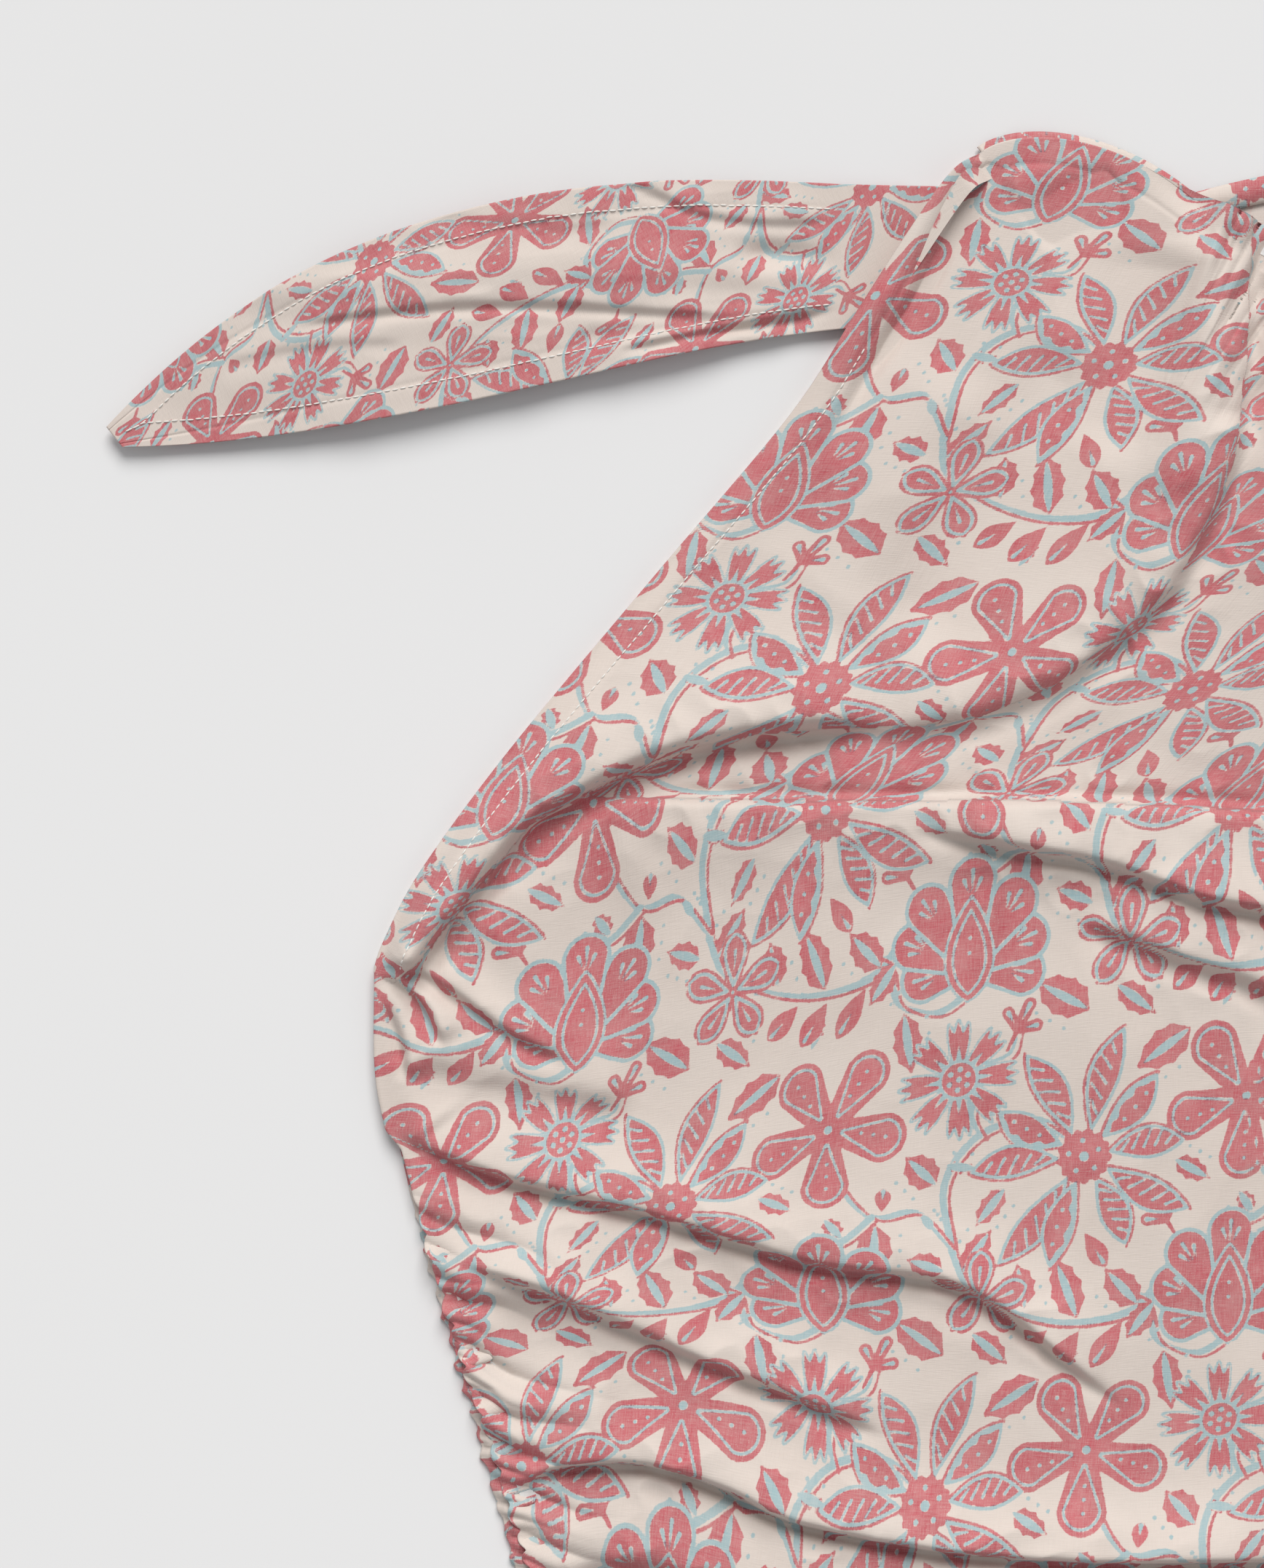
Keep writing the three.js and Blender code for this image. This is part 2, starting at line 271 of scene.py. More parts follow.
def over(window, ink, other, shape):
    """Adds a shape to one ink and clears the other ink from it."""
    ink[window.cell] = np.minimum(ink[window.cell], shape)
    other[window.cell] = np.maximum(other[window.cell], -(shape + OVERLAP))


def put_red(window, shape):
    """Prints a shape in red."""
    over(window, red, blue, shape)


def put_blue(window, shape):
    """Prints a shape in blue."""
    over(window, blue, red, shape)


def loop(points):
    """Signed distance to a smooth closed outline, negative inside."""
    p = round_path(points, 5, closed=True)
    w = Window(p.min(0), p.max(0))
    ring = np.vstack([p, p[:1]])
    d, _ = path_distance(w.x, w.y, ring)
    inside = np.zeros(w.x.shape, bool)
    for (x0, y0), (x1, y1) in zip(ring[:-1], ring[1:]):
        crosses = (y0 > w.y) != (y1 > w.y)
        xs = x0 + (w.y - y0) * (x1 - x0) / (y1 - y0 if y1 != y0 else 1e-9)
        inside ^= crosses & (w.x < xs)
    return w, np.where(inside, -np.abs(d), np.abs(d))


def line(points, start, end=None, middle=None):
    """Signed distance to a line drawn through points, with its half-width from start to end."""
    end = start if end is None else end
    p = round_path(points) if len(points) > 2 else np.asarray(points, float)
    w = Window(p.min(0), p.max(0), 3.0 + max(start, end, middle or 0))
    d, s = path_distance(w.x, w.y, p)
    r = start + (end - start) * s
    if middle is not None:
        r = r + (middle - (start + end) / 2) * 4 * s * (1 - s)
    return w, np.abs(d) - r


def dot(x, y, r):
    """Signed distance to a round dot."""
    w = Window((x - r, y - r), (x + r, y + r))
    return w, np.hypot(w.x - x, w.y - y) - r


def drop(head, tail, r):
    """A teardrop vein: round head, thin tail."""
    return line([head, tail], r, THIN)


def leaf_axis(base, tip):
    """A leaf's base, its run to the tip, its length, and the directions along and across it."""
    base, tip = np.asarray(base, float), np.asarray(tip, float)
    run = tip - base
    length = np.hypot(*run)
    u = run / length
    return base, run, length, u, np.array([-u[1], u[0]])


def leaf_half(t, width, fat, power):
    """Half the width of a leaf at a share of its length. It is fattest at the share called fat."""
    return width / 2 * np.sin(np.pi * t ** (np.log(0.5) / np.log(fat))) ** power


def leaf(base, tip, width, bend=0.0, fat=0.5, power=0.85):
    """Signed distance to a pointed leaf. Its window also gives the place along and across it."""
    base, _, length, u, n = leaf_axis(base, tip)
    reach = width + abs(bend) * length
    w = Window(np.minimum(base, tip) - reach * 0.5, np.maximum(base, tip) + reach * 0.5)
    run_share = ((w.x - base[0]) * u[0] + (w.y - base[1]) * u[1]) / length
    w.along = np.clip(run_share, 0, 1)
    w.across = (w.x - base[0]) * n[0] + (w.y - base[1]) * n[1]
    w.across = w.across - bend * length * 4 * w.along * (1 - w.along)
    w.half = leaf_half(w.along, width, fat, power)
    slope_x, slope_y = (np.abs(np.gradient(w.half, STEP, axis=axis)) for axis in (1, 0))
    slope = slope_x * abs(u[0]) + slope_y * abs(u[1])
    flank = (np.abs(w.across) - w.half) / np.sqrt(1 + np.minimum(slope, 1.5) ** 2)
    beyond = np.maximum(-run_share, run_share - 1) * length
    return w, np.where(beyond > 0, np.hypot(beyond, w.across), flank)


def petal(base, tip, width, bend, veins, dots):
    """One petal: red fill in a blue rim, a red outer line on one side, and veins or dots inside."""
    fat, power = 0.55, 0.85
    w, s = leaf(base, tip, width, bend, fat, power)
    put_red(w, np.maximum(s - SHADOW, -(w.across + 0.5)))
    put_blue(w, s)
    fill = s + RIM
    if dots:
        ragged = 0.5 * np.sin(w.along * 24.0) + 0.2 * np.sin(w.along * 43.0)
        inner = (w.along > 0.2) * (w.along < 0.85)
        fill = np.maximum(fill, w.across - w.half + RIM + 1.0 + ragged * inner)
    put_red(w, fill)
    base, run, length, _, n = leaf_axis(base, tip)

    def at(k, off):
        """The place at a share of the petal's length, this far to its left."""
        return base + run * k + n * (off + bend * length * 4 * k * (1 - k))

    for k in np.linspace(0.24, 0.80, veins):
        wide = leaf_half(k, width, fat, power)
        vein = [at(k + 0.06, wide - 1.5), at(k, 0.15 * wide), at(k - 0.05, -0.25 * wide)]
        put_blue(*line(vein, 0.5, 0.66))
    for k in np.linspace(0.36, 0.74, dots):
        put_blue(*dot(*at(k, -0.4), 0.85))


def jagged(points, teeth, depth):
    """A closed outline whose edge is cut into teeth."""
    p = round_path(points, 8, closed=True)
    q = np.roll(p, -1, axis=0)
    n = np.stack([q[:, 1] - p[:, 1], p[:, 0] - q[:, 0]], 1)
    n /= np.maximum(np.hypot(n[:, 0], n[:, 1])[:, None], 1e-9)
    area = np.sum(p[:, 0] * q[:, 1] - q[:, 0] * p[:, 1])
    run = lengths(p)
    wave = np.abs((run / run[-1] * teeth % 1) - 0.5) * 2 - 0.5
    return p + n * (wave * depth * np.sign(area))[:, None]


def radial(centre, angle, out, off=0.0):
    """The place this far out from a centre in a direction in degrees, and this far to its left."""
    c, s = np.cos(np.radians(angle)), np.sin(np.radians(angle))
    return np.array([centre[0] + out * c - off * s, centre[1] + out * s + off * c])


def ring_of_dots(centre, count, out, r, turn=25.0):
    """Blue dots round a centre."""
    for k in range(count):
        put_blue(*dot(*radial(centre, turn + 360 * k / count, out), r))


def large_flower():
    """Ten long leaf-shaped petals, veined and dotted by turns, round a red centre with blue dots."""
    centre = (0.0, 0.0)
    for k in range(10):
        angle = 36 * k + 8 + 6 * np.sin(2.4 * k)
        reach = 36 + 5 * np.sin(1.7 * k + 4)
        dotted = k % 3 == 1
        veins, dots = (0, 3) if dotted else (5, 0)
        petal(radial(centre, angle, 7), radial(centre, angle, reach), 10.6, 0.05 * (-1) ** k, veins, dots)
    put_red(*loop(jagged([radial(centre, a, 8.2) for a in range(0, 360, 45)], 13, 1.3)))
    ring_of_dots(centre, 5, 4.9, 1.0)
    put_blue(*dot(*centre, 1.7))


# A daisy petal's outline: how far out each corner lies, and its share of the petal's half-width.
DAISY_PETAL = [(4.5, -0.35), (9.0, -0.8), (13.5, -1.0), (17.2, -0.95), (14.3, -0.4), (18.2, 0.0),
               (14.5, 0.45), (17.4, 0.95), (13.5, 1.0), (9.0, 0.8), (4.5, 0.35)]


def daisy():
    """Eight notched petals round a honeycomb of blue dots."""
    centre = (-39.5, 25.9)
    put_blue(*dot(*centre, 7.0))
    for angle in range(0, 360, 45):
        w, s = loop([radial(centre, angle + 3, out, 3.3 * off) for out, off in DAISY_PETAL])
        put_blue(w, s - 0.75)
        put_red(w, s + 0.1)
        put_blue(*drop(radial(centre, angle + 3, 6.2), radial(centre, angle + 3, 10.5), 1.0))
    put_blue(*dot(*centre, 6.3))
    put_red(*dot(*centre, 5.2))
    ring_of_dots(centre, 6, 3.1, 1.05)
    put_blue(*dot(*centre, 1.05))


def round_flower():
    """Five broad teardrop petals, each with blue dots inside a blue line."""
    centre = (-79.0, 17.4)
    angles = [72 * k + 54 for k in range(5)]
    for angle in angles:
        put_red(*line([radial(centre, angle, 18), centre], 7.6, 3.0))
    for angle in angles:
        w, s = line([radial(centre, angle, 18), radial(centre, angle, 5)], 7.6, 2.6)
        put_blue(w, s + 1.5)
        put_red(w, s + 2.5)
        for out in (11, 15, 19):
            put_blue(*dot(*radial(centre, angle, out, 0.5), 0.8))
    put_red(*dot(*centre, 4.2))
    put_blue(*dot(*centre, 1.5))


def small_flower():
    """Five striped petals."""
    centre = (11.5, 65.6)
    for angle in range(18, 378, 72):
        w, s = leaf(centre, radial(centre, angle, 16.5), 8.2, 0.0, 0.68, 0.62)
        put_red(w, s - 0.9)
        put_blue(w, s)
        put_red(w, s + 1.15)
        put_blue(*line([radial(centre, angle, 6), radial(centre, angle, 11.5)], 0.3, 0.75))
    put_red(*dot(*centre, 1.6))
    put_blue(*dot(*centre, 0.75))


def fan_bloom():
    """A palmette: seven lobes with teardrop veins round a pointed bud."""
    centre = (-38.0, 60.0)
    for angle in (-8, 188, 24, 156, 54, 126, 90):
        reach = 15.5 + 9 * np.sin(np.radians(abs(angle)))
        w, s = line([radial(centre, angle, reach), centre], 6.4, 2.4)
        put_blue(w, s - 1.4)
        put_red(w, s)
        for off in (-2.6, 0.0, 2.6):
            put_blue(*drop(radial(centre, angle, reach + 3.2 - abs(off), off),
                           radial(centre, angle, reach - 3.0, 0.4 * off), 0.85))
    for grow, ink in ((1.0, put_blue), (0.0, put_red), (-1.5, put_blue), (-2.5, put_red)):
        w, s = leaf((-38.0, 50.0), (-38.0, 80.0), 14.5, 0.0, 0.42)
        ink(w, s - grow)
    for out in (64.0, 68.5):
        put_blue(*dot(-38.0, out, 0.8))


def bud(base, angle):
    """Three stubby lobes."""
    for turn, reach in ((-55, 6.0), (0, 8.5), (55, 6.0)):
        tip = radial(base, angle + turn, reach)
        put_red(*line([base, tip], 1.5, 2.1))
        put_blue(*drop(tip, radial(base, angle + turn, 0.4 * reach), 0.95))
    put_red(*line([base, radial(base, angle + 180, 7)], 0.9, 0.5))


def toothed_leaf(base, tip, wide):
    """A red leaf with a toothed edge, a blue middle and loose blue dots beside it."""
    w, s = leaf(base, tip, wide, 0.0, 0.45, 0.6)
    put_red(w, s + 0.6 + 0.9 * np.abs(np.sin(w.along * 13)))
    base, run, _, _, n = leaf_axis(base, tip)
    put_blue(*line([base + 0.08 * run, base + 0.45 * run, base + 0.85 * run], 0.5, 0.4, 1.5))
    for share in (0.2, 0.45, 0.7):
        put_blue(*dot(*(base + share * run + n * (0.5 * wide + 1.2)), 0.8))


# The stems of one repeat, each with its half-width.
STEMS = [
    ([(-4, 5), (-16, 12), (-33, 8), (-43, -6), (-41, -26)], 1.25),
    ([(-41, -26), (-35, -37), (-19, -46), (0, -50), (18, -47), (28, -35)], 1.35),
    ([(-77, 12), (-75, 0), (-65, -13), (-52, -13), (-42, -24)], 1.1),
    ([(-65, -13), (-74, -20), (-83, -23)], 1.2),
    ([(-38, 52), (-48, 47), (-60, 52), (-64, 64), (-72, 68)], 1.2),
    ([(-35, 20), (-35, 14), (-32, 8)], 0.9),
    ([(-22, 40), (-24, 33), (-31, 30)], 0.7),
]
# The toothed leaves, each from its base to its tip, and its width.
LEAVES = [
    ((-43, -32), (-56, -27), 10), ((-38, -33), (-28, -20), 10), ((-45, -6), (-55, 5), 12),
    ((-64, -15), (-66, -34), 13), ((-16, -45), (-20, -31), 11), ((1, -49), (-8, -30), 12),
    ((20, -46), (8, -34), 12), ((-74, -19), (-80, -11), 8), ((-58, 49), (-54, 29), 11),
    ((0, 44), (-17, 55), 14), ((-97, 38), (-114, 26), 13), ((-88, 43), (-84, 53), 6),
    ((-61, 64), (-70, 52), 10), ((-43, 0), (-32, -2), 6), ((-50, -14), (-46, -20), 5),
    ((28, -1), (41, -8), 9), ((-36, -57), (-22, -67), 10), ((-24, -8), (-34, -20), 9),
]
PLAIN_LEAVES = [
    ((-8, -51), (-18, -60), 7.5), ((2, -52), (-6, -64), 8.0), ((15, -50), (6, -64), 7.5),
    ((-62, -12), (-61, -4), 5.0), ((1, -23), (9, -34), 6.5),
]


def vines():
    """Blue stems with a red line beside them, and the leaves that hang on them."""
    for points, half in STEMS:
        put_blue(*line(points, half))
        put_red(*line([(x + 1.9, y - 1.2) for x, y in points], 0.5, 0.6))
    for row in LEAVES:
        toothed_leaf(*row)
    for base, tip, wide in PLAIN_LEAVES:
        put_red(*leaf(base, tip, wide, 0.0, 0.6))
        middle = np.add(base, tip) / 2
        put_blue(*drop(0.7 * np.array(tip) + 0.3 * middle, middle, 0.9))


def draw_block():
    """Prints one repeat: what is drawn later lies over what was drawn before."""
    vines()
    bud((-59.0, 89.0), 125)
    bud((-22.0, 40.0), 65)
    small_flower()
    fan_bloom()
    round_flower()
    daisy()
    large_flower()


# ---------------------------------------------------------------- the lie of the front
UNDERARM_CREASE = [(-340, -265.2), (-332.3, -258.6), (-313.2, -234.8), (-297.3, -215.7),
                   (-278.2, -204.5), (-262.7, -197), (-244.5, -190.9), (-224.1, -187), (-201.8, -185.2),
                   (-180.9, -185.2)]
CHEST_CREASE = [(-201.8, -188.4), (-180.9, -186.1), (-157.3, -181.8), (-135, -172.7), (-119.1, -161.6),
                (-103.2, -148.9), (-90.5, -129.8), (-78.6, -103.4), (-73.6, -71.6), (-71.4, -33),
                (-70.9, -12.5), (-70.9, 8)]
LAID_EDGE = [(-285.5, -207), (-259.1, -207), (-235.5, -207.5), (-208.2, -208), (-144.5, -207.7),
             (-99.1, -209.3), (-68.2, -211.1), (-30, -213)]
# Each fold: its path, height, width of the swell beside it, depth of its foot, how soft its wall is, and
# the side it swells on (1 is the left of the path's direction).
FOLDS = [
    (UNDERARM_CREASE, 8, 28, 2.8, 1.5, 1),
    (CHEST_CREASE, 5, 26, 1.5, 2, 1),
    (LAID_EDGE, 4.6, 26, 1, 1, -1),
    ([(-180.9, -216.1), (-144.5, -223.2), (-119.1, -228), (-87.3, -239.1), (-68.2, -242.7),
      (-40, -252)], 5.2, 15, 1.8, 0.9, 1),
    ([(-128.6, -244.8), (-96.8, -256.6), (-68.2, -266.6), (-38, -281)], 4, 18, 1.4, 1.4, 1),
    ([(-348, -309.8), (-326.8, -318.4), (-306.1, -325.7), (-285.5, -330.9), (-260.7, -337),
      (-235.5, -344.3), (-208.2, -352.5), (-170, -357.3), (-150.9, -366.8), (-128.6, -384.3),
      (-109.5, -398.6)], 5, 17, 2, 0.9, 1),
    ([(-326.4, -349.3), (-297.3, -359.3), (-271.8, -369.8), (-249.1, -380.2), (-226.4, -389.3),
      (-208.2, -396.6), (-184.5, -406.1)], 4.2, 15, 1.8, 1, 1),
    ([(-305.9, -424.3), (-291.6, -417.3), (-275.2, -414.8), (-256.6, -416.1), (-235.5, -423),
      (-221.8, -429.8), (-205.9, -434.8), (-167.3, -441.6), (-121.8, -445), (-68.2, -444.8),
      (-20, -446)], 6, 17, 2.4, 0.8, 1),
    ([(-346.8, -262), (-338.2, -265.2), (-330, -272.7), (-323.6, -285.2)], 2.6, 7, 1.6, 0.8, 1),
    ([(-347.7, -268.4), (-340.9, -274.3), (-336.4, -284.3), (-334.1, -296.6)], 2.2, 6, 1.4, 0.8, 1),
    ([(-346.4, -258.4), (-335.5, -260.2), (-321.8, -267.5), (-303.6, -280.7),
      (-283.2, -289.8)], 2.8, 10, 1.4, 1, 1),
    ([(-303.6, -453.4), (-267.3, -446.6), (-233.2, -455.7), (-194.5, -471.6),
      (-144.5, -485.2)], 4, 22, 1.2, 2.4, 1),
    ([(-340, -285.2), (-317.3, -293.4), (-290, -298.9), (-262.7, -303.4)], 3, 20, 0.8, 3, 1),
]
# Soft swells and hollows: path, height (negative for a hollow) and width.
SWELLS = [
    ([(-317.3, -260.2), (-299.1, -239.8), (-280.9, -226.1), (-258.2, -219.3)], 2.6, 16),
    ([(-185.9, -163.6), (-169.5, -135.2), (-157, -110.2), (-140, -85.2), (-126.4, -62.5)], -3.2, 15),
    ([(-208.2, -153.4), (-192.3, -130.7), (-176.4, -103.4), (-158.2, -71.6)], 2.6, 20),
    ([(-141.4, -31.1), (-128.6, -21.6), (-112.7, -12.5)], -2.4, 9),
    ([(-149.1, -19.3), (-133.2, -12), (-117.3, -6.6)], 1.8, 8),
    ([(-99.1, -33), (-101.4, -53.4), (-108.2, -76.1), (-121.8, -103.4)], -2.6, 14),
    ([(-87.7, -28.4), (-86.6, -53.4), (-90, -85.2), (-101.4, -117)], 4, 11),
    ([(-76.8, -26.6), (-75.5, -48.9), (-76.4, -76.1), (-78.6, -94.8)], -4.5, 7),
    ([(-340.9, -287.5), (-335.5, -301.1), (-326.4, -312.5)], 2.4, 13),
    ([(-326.4, -368.4), (-314.3, -359.3), (-302, -356.4), (-289.5, -357.7), (-277.3, -363.9),
      (-258.2, -373.9)], 4.2, 9),
    ([(-317.3, -412.5), (-305.9, -401.1), (-287.7, -394.3), (-267.3, -396.6)], 3.2, 11),
    ([(-335.5, -342), (-317.3, -338), (-294.5, -342), (-269.5, -351.1)], 2.6, 11),
    ([(-235.5, -242), (-190, -260.2), (-144.5, -276.1), (-99.1, -280.7)], 1.8, 26),
    ([(-258.2, -321.6), (-212.7, -330.7), (-167.3, -339.8)], 1.8, 22),
    ([(-212.7, -64.8), (-233.2, -96.6), (-258.2, -126.1), (-280.9, -153.4), (-299.1, -180.7)], 2.2, 14),
]
ROLL_GROOVE = [(-153.2, -7), (-155.7, -12), (-166.8, -31.1), (-176.4, -50.2), (-189.1, -69.3),
               (-201.4, -89.8), (-217.3, -114.8)]
SKIRT_FOLDS = [
    ([(-262, -520), (-190, -548), (-110, -552), (-30, -540)], 4.5, 24, 1.4, 2.2, 1),
    ([(-258, -590), (-200, -640), (-150, -720), (-130, -820)], 4, 26, 1.2, 3, 1),
    ([(-40, -470), (-10, -520), (60, -548), (140, -540), (210, -505)], 4.2, 24, 1.2, 2.4, 1),
    ([(-60, -620), (-48, -720), (-60, -830), (-78, -930)], 4.4, 30, 1, 4, -1),
    ([(60, -600), (72, -700), (64, -820), (90, -935)], 4.4, 30, 1, 4, 1),
    ([(240, -610), (205, -700), (190, -800), (205, -920)], 4, 28, 1, 3.6, -1),
    ([(-235, -690), (-245, -790), (-262, -925)], 3.6, 24, 0.9, 3.6, -1),
]


def ends(share):
    """Fades a fold out at both ends of its path."""
    return smooth(share / 0.16) * smooth((1 - share) / 0.16)


def near_mask(x, y, path, reach):
    """Which places lie near a path, by its box."""
    low, high = np.min(path, 0) - reach, np.max(path, 0) + reach
    return (x > low[0]) & (x < high[0]) & (y > low[1]) & (y < high[1])


def add_fold(z, x, y, points, high, width, foot, blur, way, crumple):
    """Cloth that stands up along a path and falls away gently on one side."""
    path = round_path(points, 4)
    m = near_mask(x, y, path, 2.6 * width)
    if not m.any():
        return
    d, share = path_distance(x[m], y[m], path)
    d = d * way
    wall = 0.5 * (1 + np.tanh(d / (WALL * blur)))
    swell = FOLD_RISE * high * wall * np.exp(-(np.maximum(d, 0) / width) ** 2)
    hollow = FOLD_SINK * foot * np.exp(-((d + 1.8 * blur) / (2.8 * blur)) ** 2)
    z[m] += (swell - hollow) * ends(share)
    crumple[m] = np.maximum(crumple[m], np.exp(-(d / 16) ** 2) * ends(share) * min(1.0, high / 5))


def shift_at_fold(x, y, fold):
    """How far the print runs on down the wall of a fold: its steps along x and y."""
    points, high, _, _, blur, _ = fold
    path = round_path(points, 4)
    step = np.zeros((2, *x.shape))
    m = near_mask(x, y, path, 50)
    if m.any():
        d, share = path_distance(x[m], y[m], path)
        run = np.diff(path, axis=0)
        heading = np.unwrap(np.arctan2(run[:, 1], run[:, 0]))
        angle = np.interp(share, np.linspace(0, 1, len(run)), heading)
        reach = 0.5 * FOLD_RISE * high * np.tanh(d / (WALL * blur)) * np.exp(-np.abs(d) / 22) * ends(share)
        step[:, m] = -np.sin(angle) * reach, np.cos(angle) * reach
    return step


def add_swell(z, x, y, points, high, width):
    """A soft swell or hollow along a path."""
    path = round_path(points, 4)
    m = near_mask(x, y, path, 2.6 * width)
    if not m.any():
        return
    d, share = path_distance(x[m], y[m], path)
    z[m] += high * np.exp(-(d / width) ** 2) * ends(share)


def other_half(x, y):
    """The places whose folds the right half repeats, a little moved so that it isn't an exact mirror."""
    return -x + 6 * np.sin(y / 50), y + 9 * np.sin(x / 70)


def edge_distance(x, y):
    """Distance in from the garment's outline (the outline is the same on both sides)."""
    rim = np.vstack([shoulder()[::-6], armhole()[::3], side()[::4], hem()[::8]])
    d, _ = path_distance(-np.abs(x), y, rim)
    return np.abs(d)


def pleats(run, size, seed):
    """Sharp-valleyed gathers of uneven size along a run."""
    phase = run / size + 0.55 * value_noise(run, 0 * run, 2.6 * size, seed)
    return np.abs(np.sin(np.pi * phase)) ** 0.9


def ruched(y):
    """1 beside the side elastic, fading to 0 past its ends."""
    return smooth((RUCHE_TOP - y) / 30) * smooth((y - RUCHE_END) / 40)


def ruching(x, y, edge):
    """Puckers that the side elastic draws in from the seam."""
    sway = y + 5.0 * value_noise(x, y, 22, 11) + 0.30 * edge
    reach = 17 + 13 * value_noise(0 * y, y, 15, 12)
    uneven = 1 + 0.8 * value_noise(0 * y, y, 12, 15)
    tight = 2.7 * uneven * np.exp(-edge / 6.5) * (pleats(sway, 7.0, 13) - 0.62)
    wide = 4.4 * uneven * np.exp(-((edge - 5) / reach) ** 2) * (pleats(sway, 15.0, 14) - 0.6)
    return ruched(y) * (tight + wide)


def neck_gathers(x, y):
    """Gathers that fall from the front neckline."""
    d, share = path_distance(-np.abs(x), y, front_neck()[::3])
    d = np.abs(d)
    run = share * 118 + 0.05 * d
    fade = np.exp(-d / 26) * smooth(share / 0.12)
    broad = np.exp(-((d - 16) / 34) ** 2) * smooth(share / 0.12)
    return 2.2 * fade * (pleats(run, 8.2, 21) - 0.6) + 2.0 * broad * (pleats(run, 17.0, 22) - 0.6)


def creasing(x, y, crumple):
    """Fine creases: crumpled beside the folds, faint elsewhere."""
    sharp = 1 - 2.2 * np.abs(value_noise(x + 0.5 * y, y - 0.35 * x, 11, 34))
    faint = 1 - 2 * np.abs(value_noise(x - 0.3 * y, y, 19, 35))
    broad = 1.5 * value_noise(x, y, 70, 31) + 0.55 * value_noise(x + 0.4 * y, y - 0.3 * x, 24, 32)
    return 0.75 * crumple * sharp + 0.22 * faint + broad + 0.16 * value_noise(x - 0.5 * y, 0.6 * y, 8, 33)


def rolled_edge(x, y):
    """The armhole's edge rolls up beside the tie, with a groove along it."""
    left = -np.abs(x)
    groove, share = path_distance(left, y, round_path(ROLL_GROOVE, 4))
    fade = smooth((1 - share) / 0.5) * smooth((y + 170) / 60) * smooth((share - 0.02) / 0.2)
    roll = 6.2 * np.exp(-((groove + 9) / 7.0) ** 2) - 4.2 * np.exp(-((groove - 1.0) / 2.8) ** 2)
    return roll * fade * smooth((left - TIE_ROOT + 140) / 30)


def front_height(x, y):
    """Height of the front cloth's upper face above the floor."""
    shape = x.shape
    x, y = x.ravel(), y.ravel()
    edge = edge_distance(x, y)
    relief, crumple = np.zeros(x.shape), np.zeros(x.shape)
    for fold in FOLDS:
        add_fold(relief, x, y, *fold, crumple)
        add_fold(relief, *other_half(x, y), *fold, crumple)
    for swell in SWELLS:
        add_swell(relief, x, y, *swell)
        add_swell(relief, -x, y + 6, *swell)
    for fold in SKIRT_FOLDS:
        add_fold(relief, x, y, *fold, crumple)
    relief += creasing(x, y, crumple) + neck_gathers(x, y)
    z = FRONT_LEVEL + FRONT_CROWN * smooth(edge / 110) + relief * smooth(edge / 9)
    z += ruching(x, y, edge) + rolled_edge(x, y)
    seam = 0.3 * np.exp(-((edge - 4.0) / 3.0) ** 2) - 0.35 * np.exp(-((edge - STITCH_INSET) / 0.9) ** 2)
    z += seam * (y > UNDERARM[1])
    return np.clip(z, FRONT_LEVEL - 0.9, 30.0).reshape(shape)


# ---------------------------------------------------------------- where the print falls
# Flower places in the photograph's part of the gown, each with its place in the block's own plane.
CHEST_PRINT = [
    ((-203.4, -167.7), (0, 0)), ((-90.7, -183.2), (129, 0)), ((-115.2, -70.5), (43.2, 108.6)),
    ((-142, -163.6), (50.1, 17.4)), ((-236.4, -142.7), (-39.5, 25.9)), ((-110.2, -151.4), (89.5, 25.9)),
    ((-215.5, -103.6), (-36.6, 75.5)), ((-165.2, -109.8), (8.9, 63.9)), ((-126.1, -15.5), (6.6, 184.1)),
    ((-148.2, -38.6), (3.7, 134.5)), ((-303.6, -199.1), (-79.8, -33.1)),
    ((-318.4, -234.5), (-82.7, -82.7)), ((-194.8, -124.3), (-7.7, 53.4)),
]
POCKET_PRINT = [
    ((-90.7, -183.2), (129, 0)), ((-110.2, -151.4), (89.5, 25.9)), ((-186.6, -193.2), (49.2, -33.1)),
    ((-66.1, -187.5), (178.2, -33.1)), ((-137.7, -198.9), (100, -37)),
]
BODY_PRINT = [
    ((-123.9, -318.9), (0, 0)), ((-254.8, -335), (-129, 0)), ((-207, -212.5), (-85.8, 108.6)),
    ((-163.4, -292.7), (-39.5, 25.9)), ((-286.6, -314.1), (-168.5, 25.9)),
    ((-201.4, -394.8), (-82.7, -82.7)), ((-160.5, -243.4), (-36.6, 75.5)),
    ((-79.3, -351.4), (49.2, -33.1)), ((-274.3, -268.9), (-165.6, 75.5)),
    ((-210, -311.8), (-78.9, 17.4)), ((-73.6, -301.4), (50.1, 17.4)), ((-126.1, -410.7), (6.9, -91.2)),
    ((-252.3, -385), (-122.1, -91.2)), ((-158.2, -363.6), (-34.3, -44.7)),
    ((-112.7, -254.1), (8.9, 63.9)), ((-233.9, -263.6), (-120.1, 63.9)),
    ((-131.6, -265.5), (-7.7, 53.4)), ((-253.4, -287), (-136.7, 53.4)),
    ((-178.6, -426.6), (-43.2, -108.6)), ((-79.8, -401.1), (46.3, -82.7)),
]
TIE_PRINT = [
    ((-347.7, -37.5), (0, 0)), ((-368.4, -76.6), (-39.5, 25.9)), ((-405.9, -71.6), (-79.8, -33.1)),
    ((-267.3, -14.8), (89.5, 25.9)), ((-258.2, -37.5), (92.4, 75.5)),
]
# Right of the centre the pieces of print above the creases follow the body's, this many millimetres on.
CHEST_STEP = (64.0, -130.0)
POCKET_STEP = (135.0, -161.0)
UNDERARM_CORNER = (-346.0, -262.0)


